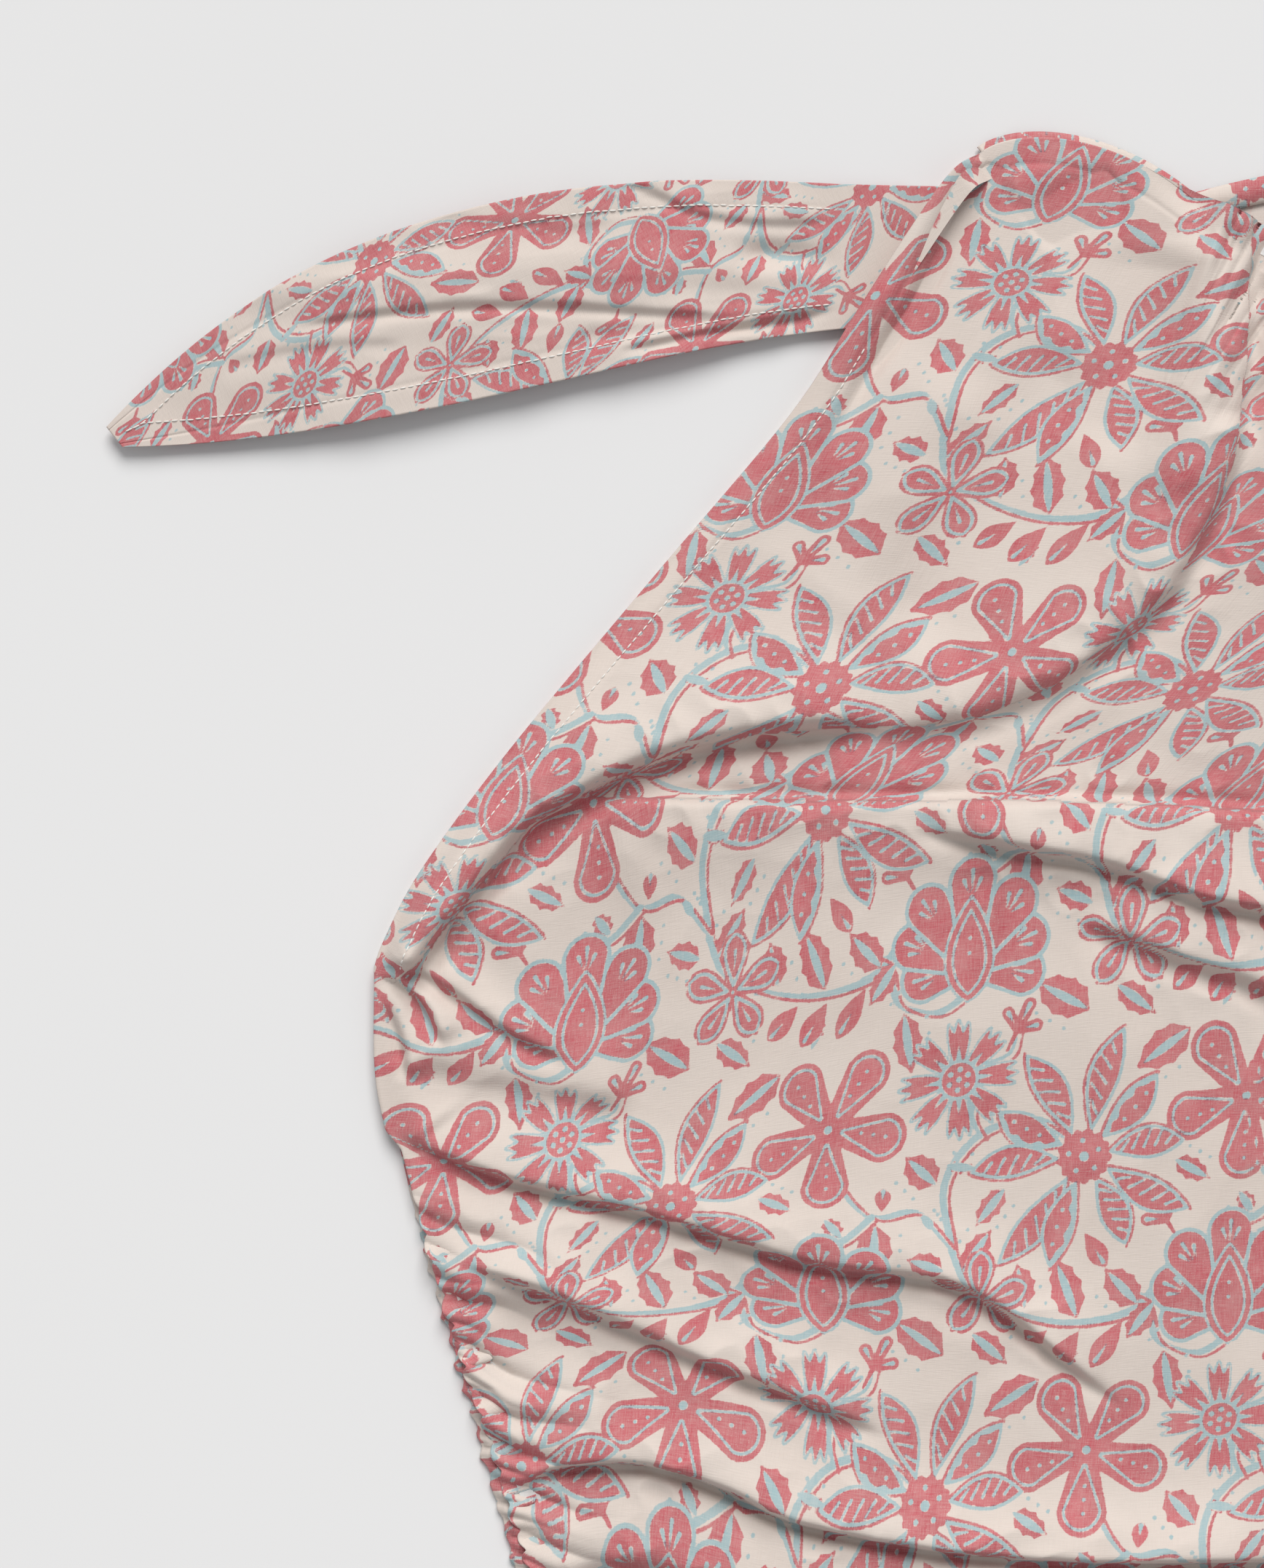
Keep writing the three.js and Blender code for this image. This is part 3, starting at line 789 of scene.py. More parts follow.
def print_plane(x, y, places, give=32.0):
    """The block plane's coordinates at garment places, smoothly warped through the given places."""
    here = np.array([p for p, _ in places])
    there = np.array([q for _, q in places], float)
    plain = np.column_stack([here, np.ones(len(here))])
    ridge = plain.T @ plain + np.diag([1.0, 1.0, 0.0])
    fit = np.linalg.solve(ridge, plain.T @ there)
    left = there - plain @ fit
    u = x * fit[0, 0] + y * fit[1, 0] + fit[2, 0]
    v = x * fit[0, 1] + y * fit[1, 1] + fit[2, 1]
    total = np.full(x.shape, 0.08)
    du, dv = np.zeros(x.shape), np.zeros(x.shape)
    for (hx, hy), (rx, ry) in zip(here, left):
        weight = np.exp(-((x - hx) ** 2 + (y - hy) ** 2) / (2 * give**2))
        total += weight
        du += weight * rx
        dv += weight * ry
    return u + du / total, v + dv / total


def above(x, y, path):
    """True above a path that runs left to right."""
    return y > np.interp(x, [p[0] for p in path], [p[1] for p in path])


def front_plane(x, y):
    """Where each place of the front lies in the block's plane. It jumps across the deepest creases,
    which swallow cloth."""
    mx = -np.abs(x)
    body, chest, pocket = (print_plane(x, y, places) for places in (BODY_PRINT, CHEST_PRINT, POCKET_PRINT))
    turn = smooth((x + 60) / 120)
    chest = [a * (1 - turn) + (b + s) * turn for a, b, s in zip(chest, body, CHEST_STEP)]
    pocket = [a * (1 - turn) + (b + s) * turn for a, b, s in zip(pocket, body, POCKET_STEP)]
    upper = above(mx, y, [UNDERARM_CORNER, *UNDERARM_CREASE, *CHEST_CREASE[2:9], (-70.6, 0.0)])
    laid = above(mx, y, [(-285.0, -207.3), *LAID_EDGE, (0.0, -213.0)])
    between = laid & ~upper & (mx > UNDERARM_CREASE[4][0])
    u, v = (np.where(upper, a, np.where(between, b, c)) for a, b, c in zip(chest, pocket, body))
    for fold in FOLDS:
        du, dv = shift_at_fold(x, y, fold)
        du_right, dv_right = shift_at_fold(*other_half(x, y), fold)
        u, v = u + du - du_right, v + dv + dv_right
    for fold in SKIRT_FOLDS:
        du, dv = shift_at_fold(x, y, fold)
        u, v = u + du, v + dv
    return u, v


# ---------------------------------------------------------------- cloth meshes
def sample(ink, u, v):
    """The block's signed distance at places of its plane, in the repeat that covers them."""
    gx, gy = u / STEP, v / STEP
    ix, iy = np.floor(gx).astype(int), np.floor(gy).astype(int)
    fx, fy = gx - ix, gy - iy

    def cell(cx, cy):
        """The ink in one cell of the plane."""
        row = np.floor_divide(cy, ROWS)
        return ink[cy - row * ROWS, np.mod(cx - row * SHIFT, COLS)]

    low = cell(ix, iy) * (1 - fx) + cell(ix + 1, iy) * fx
    high = cell(ix, iy + 1) * (1 - fx) + cell(ix + 1, iy + 1) * fx
    return low * (1 - fy) + high * fy


def coons(bottom, top, left, right, across, up):
    """A grid of garment places that fills four edges. across and up are each column's and row's share."""
    s, t = np.asarray(across)[None, :, None], np.asarray(up)[:, None, None]
    b, c, l, r = bottom[None], top[None], left[:, None], right[:, None]
    flat = (1 - s) * (1 - t) * b[:, :1] + s * (1 - t) * b[:, -1:]
    flat = flat + (1 - s) * t * c[:, :1] + s * t * c[:, -1:]
    return (1 - t) * b + t * c + (1 - s) * l + s * r - flat


def steps(parts):
    """Shares of a run cut into parts, each (end, step), starting from 0 and ending at 1."""
    out, start = [0.0], 0.0
    for end, step in parts:
        count = max(1, int(round((end - start) / step)))
        out.extend(start + (end - start) * np.arange(1, count + 1) / count)
        start = end
    return np.array(out)


def quads(index):
    """Four-sided faces over a grid of point numbers."""
    a, b, c, d = index[:-1, :-1], index[:-1, 1:], index[1:, 1:], index[1:, :-1]
    return np.stack([a, b, c, d], -1).reshape(-1, 4)


def add_object(name, data):
    """An object of its own in the scene."""
    obj = bpy.data.objects.new(name, data)
    bpy.context.scene.collection.objects.link(obj)
    return obj


class Cloth:
    """Grid patches of one cloth piece, gathered into a single mesh with its print attributes."""

    def __init__(self):
        self.points, self.plane, self.wrong, self.flat, self.faces = [], [], [], [], []
        self.count = 0

    def add(self, xyz, plane, wrong, flat):
        """Adds places with their print coordinates, wrong-side share and flat lay; gives their numbers."""
        shape = xyz.shape[:-1]
        n = int(np.prod(shape))
        self.points.append(xyz.reshape(-1, 3))
        self.plane.append(np.stack([np.broadcast_to(p, shape).ravel() for p in plane], 1))
        self.wrong.append(np.broadcast_to(wrong, shape).ravel())
        self.flat.append(flat.reshape(-1, 2))
        index = np.arange(self.count, self.count + n).reshape(shape)
        self.count += n
        return index

    def join(self, index, flip=False):
        """Faces over a grid of point numbers."""
        q = quads(index)
        self.faces.append(q[:, ::-1] if flip else q)

    def close(self, upper, lower, flip):
        """Faces over both sides of a thick patch and round its edge."""
        self.join(upper, flip)
        self.join(lower, not flip)
        for strip in ((upper[0], lower[0]), (lower[-1], upper[-1]), (lower[:, 0], upper[:, 0]),
                      (upper[:, -1], lower[:, -1])):
            self.join(np.stack(strip), not flip)

    def build(self, name, material):
        """The finished object, its print kept on its points and its flat lay as the bake layout."""
        co = metres(np.vstack(self.points))
        faces = np.vstack(self.faces)
        mesh = bpy.data.meshes.new(name)
        mesh.vertices.add(len(co))
        mesh.vertices.foreach_set("co", co.astype(np.float32).ravel())
        mesh.loops.add(faces.size)
        mesh.loops.foreach_set("vertex_index", faces.ravel().astype(np.int32))
        mesh.polygons.add(len(faces))
        mesh.polygons.foreach_set("loop_start", np.arange(0, faces.size, 4, dtype=np.int32))
        mesh.polygons.foreach_set("use_smooth", np.ones(len(faces), bool))
        mesh.update(calc_edges=True)
        plane = np.vstack(self.plane)
        for label, values in (("ink_red", sample(red, plane[:, 0], plane[:, 1])),
                              ("ink_blue", sample(blue, plane[:, 0], plane[:, 1])),
                              ("wrong_side", np.concatenate(self.wrong))):
            data = mesh.attributes.new(label, "FLOAT", "POINT").data
            data.foreach_set("value", values.astype(np.float32))
        weave = np.column_stack([plane / 1000, np.zeros(len(plane))]).astype(np.float32)
        mesh.attributes.new("weave", "FLOAT_VECTOR", "POINT").data.foreach_set("vector", weave.ravel())
        flat = np.vstack(self.flat)
        flat = (flat - flat.min(0)) / (flat.max(0) - flat.min(0)).max() * 0.98 + 0.01
        layer = mesh.uv_layers.new(name="OFBake")
        layer.data.foreach_set("uv", flat[faces.ravel()].astype(np.float32).ravel())
        mesh.materials.append(material)
        return add_object(name, mesh)


def rim_normals(loop_points):
    """Outward directions along a loop of places that runs clockwise."""
    t = np.roll(loop_points, -1, 0) - np.roll(loop_points, 1, 0)
    n = np.stack([-t[:, 1], t[:, 0]], 1)
    return n / np.maximum(np.hypot(n[:, 0], n[:, 1])[:, None], 1e-9)


def wobble(x, y):
    """The ruched seam's edge wanders in and out."""
    d = np.abs(x) + x_on(side(), y)
    swing = 2.0 * (pleats(y + 2.0, 8.0, 13) - 0.6) + 0.7 * value_noise(0 * y, y, 5, 41)
    bulge = 3.6 * smooth((y + 318) / 8) * smooth((-262 - y) / 40)
    return np.sign(x) * (ruched(y) * swing + bulge) * np.exp(-np.abs(d) / 7)


def body_rows(top, fine_to):
    """Shares down the gown, fine in the photograph's part; and the depths they stand for."""
    depth = top - HEM_CORNER[1]
    part = (top - fine_to) / depth
    share = steps([(part, FINE / depth), (1.0, COARSE / depth)])
    return share, top - share * depth


def front_grids():
    """Garment places of the front below the neckline's foot, and of the two parts above it beside the
    neck; and which column is the middle one."""
    top = -FRONT_NECK_DROP
    share, depths = body_rows(top, PHOTO_FOOT)
    columns = steps([(0.39, FINE / 600), (1.0, COARSE / 600)])
    columns = np.unique(np.append(columns, 0.5))
    middle = int(np.searchsorted(columns, 0.5))
    outline = np.vstack([armhole(), side()[1:]])
    left = np.stack([x_on(outline, depths), depths], 1)[::-1]
    top_row = np.stack([left[-1, 0] * (1 - 2 * columns), np.full(columns.shape, top)], 1)
    whole_hem = np.vstack([hem(), mirrored(hem())[-2::-1]])
    bottom = on_curve(HEM_CORNER[0] * (1 - 2 * columns), whole_hem)
    grids = [coons(bottom, top_row, left, mirrored(left), columns, 1 - share[::-1])]
    rows = steps([(1.0, FINE / FRONT_NECK_DROP)])
    rim = along(above_depth(armhole(), top)[::-1], at=rows)
    neck = along(front_neck()[::-1], at=rows)
    for sign, part in ((1, slice(0, middle + 1)), (-1, slice(middle, None))):
        q = columns[part]
        q = (q - q[0]) / (q[-1] - q[0])
        if sign > 0:
            grid = coons(top_row[part], along(shoulder(), at=q), rim, neck, q, rows)
        else:
            ridge = mirrored(along(shoulder(), at=1 - q))
            grid = coons(top_row[part], ridge, mirrored(neck), mirrored(rim), q, rows)
        grids.append(grid[1:])
    return grids, middle


# The front's edge is turned under by these steps inward and down.
TURN_UNDER = [(-0.25, 0.35), (0.25, 0.8), (HEM_FOLD * 0.5, 1.0), (HEM_FOLD, 1.0)]


def make_front(material):
    """The front: one sheet from the shoulders to the hem, its outer edge turned under."""
    cloth = Cloth()
    grids, middle = front_grids()
    ids = []
    for grid in grids:
        x, y = grid[..., 0], grid[..., 1]
        xyz = np.stack([x + wobble(x, y), y, front_height(x, y)], -1)
        ids.append(cloth.add(xyz, front_plane(x, y), 0.0, grid))
    body = ids[0]
    left = np.vstack([body[-1:, :middle + 1], ids[1]])
    right = np.vstack([body[-1:, middle:], ids[2]])
    for index in (body, left, right):
        cloth.join(index)
    rim = np.concatenate([body[:, 0], left[1:, 0], left[-1, 1:], left[-2:0:-1, -1], [left[0, -1]],
                          right[1:, 0], right[-1, 1:], right[-2::-1, -1], body[-2::-1, -1],
                          body[0, -2:0:-1]])
    points, plane, flat = (np.vstack(rows)[rim] for rows in (cloth.points, cloth.plane, cloth.flat))
    out = rim_normals(flat)
    rings = [rim]
    for inward, down in TURN_UNDER:
        place = points.copy()
        place[:, :2] -= out * inward
        place[:, 2] -= down
        rings.append(cloth.add(place, (plane + out * inward).T, 0.0, flat + out * (inward + 0.6)))
    ring = np.stack(rings)
    cloth.join(np.hstack([ring, ring[:, :1]]))
    return cloth.build("front_cloth", material)


BACK_WIDTH, BACK_LENGTH = 376.0, 950.0   # about; they set the number of columns and rows


def back_grid():
    """The left back panel's places and each column's share, from its side seam to its lap."""
    top = np.vstack([shoulder(), back_neck()[1:], [[BACK_LAP, -BACK_NECK_DROP]]])
    outer = np.vstack([armhole(), side(BACK_PEEK)[1:]])[::-1]
    rim_step, step = ((0.7, 2.0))
    columns = steps([(0.045, rim_step / BACK_WIDTH), (1.0, step / BACK_WIDTH)])
    rows = steps([(1.0, 1.3 / BACK_LENGTH)])
    lap_y = np.interp(rows, [0, 1], [HEM_MIDDLE, -BACK_NECK_DROP])
    lap_edge = np.stack([np.full(rows.shape, BACK_LAP), lap_y], 1)
    whole_hem = np.vstack([hem(), [[BACK_LAP, HEM_MIDDLE]]])
    bottom = on_curve(HEM_CORNER[0] + (BACK_LAP - HEM_CORNER[0]) * columns, whole_hem)
    return coons(bottom, along(top, at=columns), along(outer, at=rows), lap_edge, columns, rows), columns


def make_back(name, sign, level, material):
    """A back panel: printed face to the floor, pale wrong side up, its ruched edge past the front's."""
    cloth = Cloth()
    grid, columns = back_grid()
    x, y = grid[..., 0], grid[..., 1]
    peek = smooth((x_on(side(), y) + 12 - x) / 2) * (y < UNDERARM[1])
    edge = columns[None, :] * BACK_WIDTH
    span = ruched(y)
    puff = span * np.exp(-((edge - 4.5) / 4.0) ** 2) * (0.5 + 3.0 * pleats(y + 0.2 * edge, 5.2, 51 + sign))
    swing = 1.6 * (pleats(y, 7.3, 53) - 0.6) + 0.8 * value_noise(0 * y, y, 4, 54)
    swing = np.clip(span * np.exp(-edge / 5) * swing, -2.0, 2.0)
    lift = 0.25 * (value_noise(x, y, 30, 55) + 1) * smooth(edge / 12) + puff
    plane = (x + 31.0 * (2 - sign)) * sign, y + 17.0
    low = np.stack([(x + swing) * sign, y, np.full(x.shape, level + 0.1)], -1)
    high = low + np.stack([0 * x, 0 * x, BACK_THICK + lift], -1)
    upper = cloth.add(high, plane, 1 - peek, grid)
    lower = cloth.add(low, plane, 0.0, grid + [400.0, 0.0])
    cloth.close(upper, lower, flip=sign < 0)
    return cloth.build(name, material)


# ---------------------------------------------------------------- ties
def tie_edges():
    """The tie's upper and lower edges, from the sewn-in end to the tip."""
    reach = abs(TIE_TIP[0] - TIE_ROOT)
    a, b = np.array((TIE_ROOT, TIE_TOP)), np.array((TIE_ROOT, TIE_FOOT))
    handles = np.array([(-0.432, 0.026), (-0.747, -0.057), (-0.266, -0.024), (-0.607, -0.155)]) * reach
    upper = bezier(a, a + handles[0], a + handles[1], TIE_TIP)
    lower = bezier(b, b + handles[2], b + handles[3], TIE_TIP_FOOT)
    upper = np.vstack([[[TIE_SEWN_END, TIE_TOP - 1.0]], upper])
    lower = np.vstack([[[TIE_SEWN_END - 10, TIE_FOOT + 4.0]], lower])
    return upper, lower


TIE_FOLDS = [
    ([(-372.7, -59.8), (-349.1, -56.1), (-321.8, -53.4), (-290, -53), (-258.2, -55.2),
      (-233.2, -56.1)], 1.2, 10, 0.7, 0.7, 1),
    ([(-274.1, -12.5), (-258.2, -18), (-244.5, -24.3), (-221.8, -27),
      (-192.3, -25.2)], 0.9, 8, 0.6, 0.8, 1),
    ([(-271.8, -67.5), (-244.5, -61.6), (-221.8, -57.5), (-190, -51.6)], 1.5, 6, 0.9, 0.6, 1),
    ([(-394.5, -71.6), (-376.4, -67.5), (-353.6, -64.8), (-335.5, -64.8)], 0.6, 7, 0.3, 1, 1),
    ([(-335.5, -21.6), (-317.3, -26.1), (-290, -28.4), (-267.3, -26.1)], 0.5, 8, 0.3, 1.2, 1),
]
TIE_SWELLS = [
    ([(-394.5, -53.4), (-367.3, -46.6), (-317.3, -42.5), (-258.2, -40.9), (-212.7, -44.3),
      (-192.3, -45.5)], 1.5, 6),
    ([(-235.5, -37.5), (-215, -37.5), (-199.1, -39.3), (-178.6, -41.1)], -3.4, 4.5),
    ([(-290, -64.8), (-258.2, -60.7), (-226.4, -58), (-201.4, -56.1)], -1.4, 3),
]


def tie_height(x, y, share, across):
    """Height of a tie's upper face: raised between its root and its tip, with lengthwise folds."""
    lift = 3.7 + 4.2 * smooth((share - 0.24) / 0.2) - 3.4 * smooth((share - 0.7) / 0.3)
    flat_x, flat_y = x.ravel(), y.ravel()
    relief, crumple = np.zeros(flat_x.shape), np.zeros(flat_x.shape)
    for fold in TIE_FOLDS:
        add_fold(relief, flat_x, flat_y, *fold, crumple)
    for swell in TIE_SWELLS:
        add_swell(relief, flat_x, flat_y, *swell)
    relief += 1.1 * crumple * (1 - 2.2 * np.abs(value_noise(0.5 * flat_x, 1.4 * flat_y, 9, 63)))
    relief = relief.reshape(x.shape) + 0.7 * value_noise(x, y, 17, 61) + 0.25 * value_noise(x, y, 7, 62)
    free = smooth((TIE_ROOT + 2 - x) / 18)
    edge = np.minimum(across, 1 - across) * 50
    z = lift * (0.3 + 0.7 * smooth((TIE_ROOT + 30 - x) / 40)) + 1.2 * (1 - free)
    z += relief * free * smooth((1.06 - share) / 0.12)
    return z - 0.3 * np.exp(-((edge - STITCH_INSET) / 0.9) ** 2) * free


def tie_grid(count_along, count_across):
    """The left tie's places, and their shares along it and across it."""
    upper, lower = tie_edges()
    s = np.linspace(0, 1, count_along)
    t = np.linspace(0, 1, count_across)[:, None]
    high, low = along(upper, at=s), along(lower, at=s)
    grid = low[None] * (1 - t[..., None]) + high[None] * t[..., None]
    return grid, s[None, :] * np.ones_like(t), t * np.ones((1, count_along))


TIE_LENGTH, TIE_WIDTH = 320.0, 56.0      # about; they set the number of columns and rows
RIGHT_TIE_STEP = (57.0, 23.0)            # the right tie is cut from another part of the print


def make_tie(name, sign, material):
    """A neck tie: one strip of printed cotton, pale underneath inside its turned edges."""
    cloth = Cloth()
    grid, share, across = tie_grid(int(TIE_LENGTH / FINE), int(TIE_WIDTH / FINE))
    x, y = grid[..., 0], grid[..., 1]
    z = tie_height(x, y, share, across)
    edge = np.minimum(across, 1 - across) * np.hypot(*(grid[-1] - grid[0]).T)[None, :]
    u, v = print_plane(x, y, TIE_PRINT)
    if sign < 0:
        u, v = u + RIGHT_TIE_STEP[0], v + RIGHT_TIE_STEP[1]
    pale = smooth((edge - HEM_FOLD) / 0.6)
    under = np.maximum(z - (0.55 + 0.35 * (1 - pale)), 0.15)
    upper = cloth.add(np.stack([x * sign, y, z], -1), (u, v), 0.0, grid)
    lower = cloth.add(np.stack([x * sign, y, under], -1), (u + 9, v + 9), pale, grid - [0.0, 90.0])
    cloth.close(upper, lower, flip=sign > 0)
    return cloth.build(name, material)


# ---------------------------------------------------------------- strips and thread
def make_ribbon(name, curve, width, heights, material, sign=1, inner=0.0, swell=0.0, thick=0.5):
    """A narrow strip along a curve, on its right-hand side, with a little crown and thickness."""
    cloth = Cloth()
    spine = along(curve, count=max(8, int(lengths(curve)[-1] / (0.8))))
    q = np.linspace(0, 1, 9)
    grid = spine[None] + right_of(spine)[None] * (inner + width * q[:, None, None])
    x, y = grid[..., 0], grid[..., 1]
    z = heights(x, y) + (swell + 0.12 * value_noise(x, y, 5, 71)) * np.sin(np.pi * q)[:, None]
    u = x + 40.0 + 31.0 * sign
    upper = cloth.add(np.stack([x * sign, y, z], -1), (u, y + 12.0), 0.0, grid)
    lower = cloth.add(np.stack([x * sign, y, z - thick], -1),
                      (u - 20.0, y + 30.0), 0.0, grid + [0.0, 40.0])
    cloth.close(upper, lower, flip=sign > 0)
    return cloth.build(name, material)


def make_stitches(name, lines, material, sign=1):
    """Topstitching along lines of (x, y, z): a short plump thread over each stitch."""
    rings, sides = 7, 6
    points, faces = [], []
    jitter = np.random.default_rng(7)
    turn = np.linspace(0, 2 * np.pi, sides, endpoint=False)
    k = np.linspace(STITCH_GAP, 1 - STITCH_GAP, rings)
    arch = np.sin(np.pi * np.linspace(0, 1, rings)) ** 0.5
    radius = THREAD_RADIUS * (0.4 + 0.6 * arch)
    for seam in lines:
        run = lengths(seam)
        for number in range(int(run[-1] / STITCH_PITCH)):
            at = (number + k) * STITCH_PITCH
            x, y, z = (np.interp(at, run, seam[:, axis]) for axis in range(3))
            slip = jitter.normal(0, 0.06, 2)
            heading = np.array([x[-1] - x[0], y[-1] - y[0]])
            across = np.array([-heading[1], heading[0]]) / np.hypot(*heading)
            middle = np.stack([x, y], 1) + across * (slip[0] + slip[1] * (k - 0.5))[:, None]
            ring = middle[:, None, :] + across * (np.cos(turn)[None, :, None] * radius[:, None, None])
            rise = z[:, None] + 0.06 + 0.16 * arch[:, None] + np.sin(turn)[None] * radius[:, None]
            index = len(points) * rings * sides + np.arange(rings * sides).reshape(rings, sides)
            points.append(np.concatenate([ring, rise[..., None]], -1).reshape(-1, 3))
            faces.append(quads(np.hstack([index, index[:, :1]])))
    co = np.vstack(points) * [sign, 1, 1]
    faces = np.vstack(faces)
    mesh = bpy.data.meshes.new(name)
    mesh.from_pydata(metres(co).tolist(), [], faces.tolist())
    mesh.polygons.foreach_set("use_smooth", np.ones(len(faces), bool))
    mesh.materials.append(material)
    return add_object(name, mesh)


def inset(curve, distance):
    """The curve moved towards its right-hand side."""
    return curve + right_of(curve) * distance


def flat_at(level):
    """A height that is the same everywhere."""
    return lambda x, y: np.full(np.shape(x), float(level))


def under_front(depth):
    """A height this far under the front cloth's face."""
    return lambda x, y: front_height(x, y) - depth


def on_front(curve):
    """A line that lies on the front cloth."""
    return np.column_stack([curve, front_height(curve[:, 0], curve[:, 1])])


def tie_seams():
    """The tie's two topstitched lines, from near its root to where they meet at the tip."""
    grid, share, _ = tie_grid(400, 2)
    width = np.hypot(*(grid[-1] - grid[0]).T)
    inset_share = np.clip(STITCH_INSET / width, 0, 0.5)
    lines = []
    for t in (inset_share, 1 - inset_share):
        place = grid[0] * (1 - t[:, None]) + grid[-1] * t[:, None]
        z = tie_height(place[:, 0], place[:, 1], share[0], t)
        keep = (width > 1.2 * STITCH_INSET) & (place[:, 0] < TIE_ROOT - 2)
        lines.append(np.column_stack([place, z])[keep])
    return lines


# ---------------------------------------------------------------- materials
CREAM = (0.672, 0.592, 0.535, 1)
RED_INK = (0.545, 0.098, 0.122, 1)
DEEP_RED = (0.455, 0.078, 0.098, 1)
BLUE_INK = (0.315, 0.462, 0.490, 1)
INK_OVERLAP = (0.200, 0.110, 0.145, 1)
PALE_SIDE = (0.700, 0.625, 0.570, 1)
DULL_CREAM = (0.655, 0.570, 0.512, 1)
BARE_THREAD = (0.80, 0.72, 0.66, 1)
THREAD_WHITE = (0.88, 0.85, 0.80, 1)
ELASTIC_GREY = (0.80, 0.79, 0.77, 1)
TAPE_WHITE = (0.86, 0.84, 0.80, 1)
FLOOR_TONES = (0.790, 0.790, 0.792, 1), (0.800, 0.800, 0.802, 1)
COTTON_PITCH = 0.00034      # metres between the cotton's threads


class Nodes:
    """Shorthand for building one material's node tree."""

    def __init__(self, name):
        self.material = bpy.data.materials.new(name)
        self.material.use_nodes = True
        self.tree = self.material.node_tree
        self.shader = self.tree.nodes["Principled BSDF"]

    def node(self, kind, **settings):
        """A new node with these settings."""
        made = self.tree.nodes.new(kind)
        for key, value in settings.items():
            setattr(made, key, value)
        return made

    def link(self, a, b):
        """Joins two sockets."""
        self.tree.links.new(a, b)

    def fill(self, socket, value):
        """Sets a socket to a value or joins another to it."""
        if isinstance(value, bpy.types.NodeSocket):
            self.link(value, socket)
        else:
            socket.default_value = value

    def math(self, operation, a, b=0.0, c=0.0):
        """A sum, product or the like."""
        made = self.node("ShaderNodeMath", operation=operation)
        for socket, value in zip(made.inputs, (a, b, c)):
            self.fill(socket, value)
        return made.outputs[0]

    def mix(self, share, a, b, blend_type="MIX"):
        """A share of colour b over colour a."""
        made = self.node("ShaderNodeMix", data_type="RGBA", blend_type=blend_type)
        self.fill(made.inputs["Factor"], share)
        self.fill(made.inputs[6], a)
        self.fill(made.inputs[7], b)
        return made.outputs[2]

    def span(self, value, low, high, to_low=0.0, to_high=1.0):
        """Maps low..high to to_low..to_high, and clamps."""
        made = self.node("ShaderNodeMapRange")
        limits = {"Value": value, "From Min": low, "From Max": high, "To Min": to_low, "To Max": to_high}
        for key, amount in limits.items():
            self.fill(made.inputs[key], amount)
        return made.outputs[0]

    def noise(self, vector, scale, detail=2.0, stretch=(1, 1, 1)):
        """Noise with this many bumps to the metre."""
        mapping = self.node("ShaderNodeMapping")
        mapping.inputs["Scale"].default_value = [scale * s for s in stretch]
        self.link(vector, mapping.inputs["Vector"])
        made = self.node("ShaderNodeTexNoise")
        made.inputs["Scale"].default_value = 1.0
        made.inputs["Detail"].default_value = detail
        self.link(mapping.outputs[0], made.inputs["Vector"])
        return made.outputs["Fac"]

    def attribute(self, name, output="Fac"):
        """A value kept on the cloth's points."""
        return self.node("ShaderNodeAttribute", attribute_name=name).outputs[output]

    def bump(self, height, distance, strength):
        """Fine relief on the shader's normal."""
        made = self.node("ShaderNodeBump")
        made.inputs["Distance"].default_value = distance
        made.inputs["Strength"].default_value = strength
        self.link(height, made.inputs["Height"])
        self.link(made.outputs[0], self.shader.inputs["Normal"])


def thread_pattern(n, where, pitch):
    """A plain weave: uneven warp and weft threads of this pitch in metres, from 0 to 1."""
    warp = n.noise(where, 1.0 / pitch, 1.0, (1, 0.07, 1))
    weft = n.noise(where, 1.0 / pitch, 1.0, (0.07, 1, 1))
    return n.math("ADD", n.math("MULTIPLY", warp, 0.5), n.math("MULTIPLY", weft, 0.5))


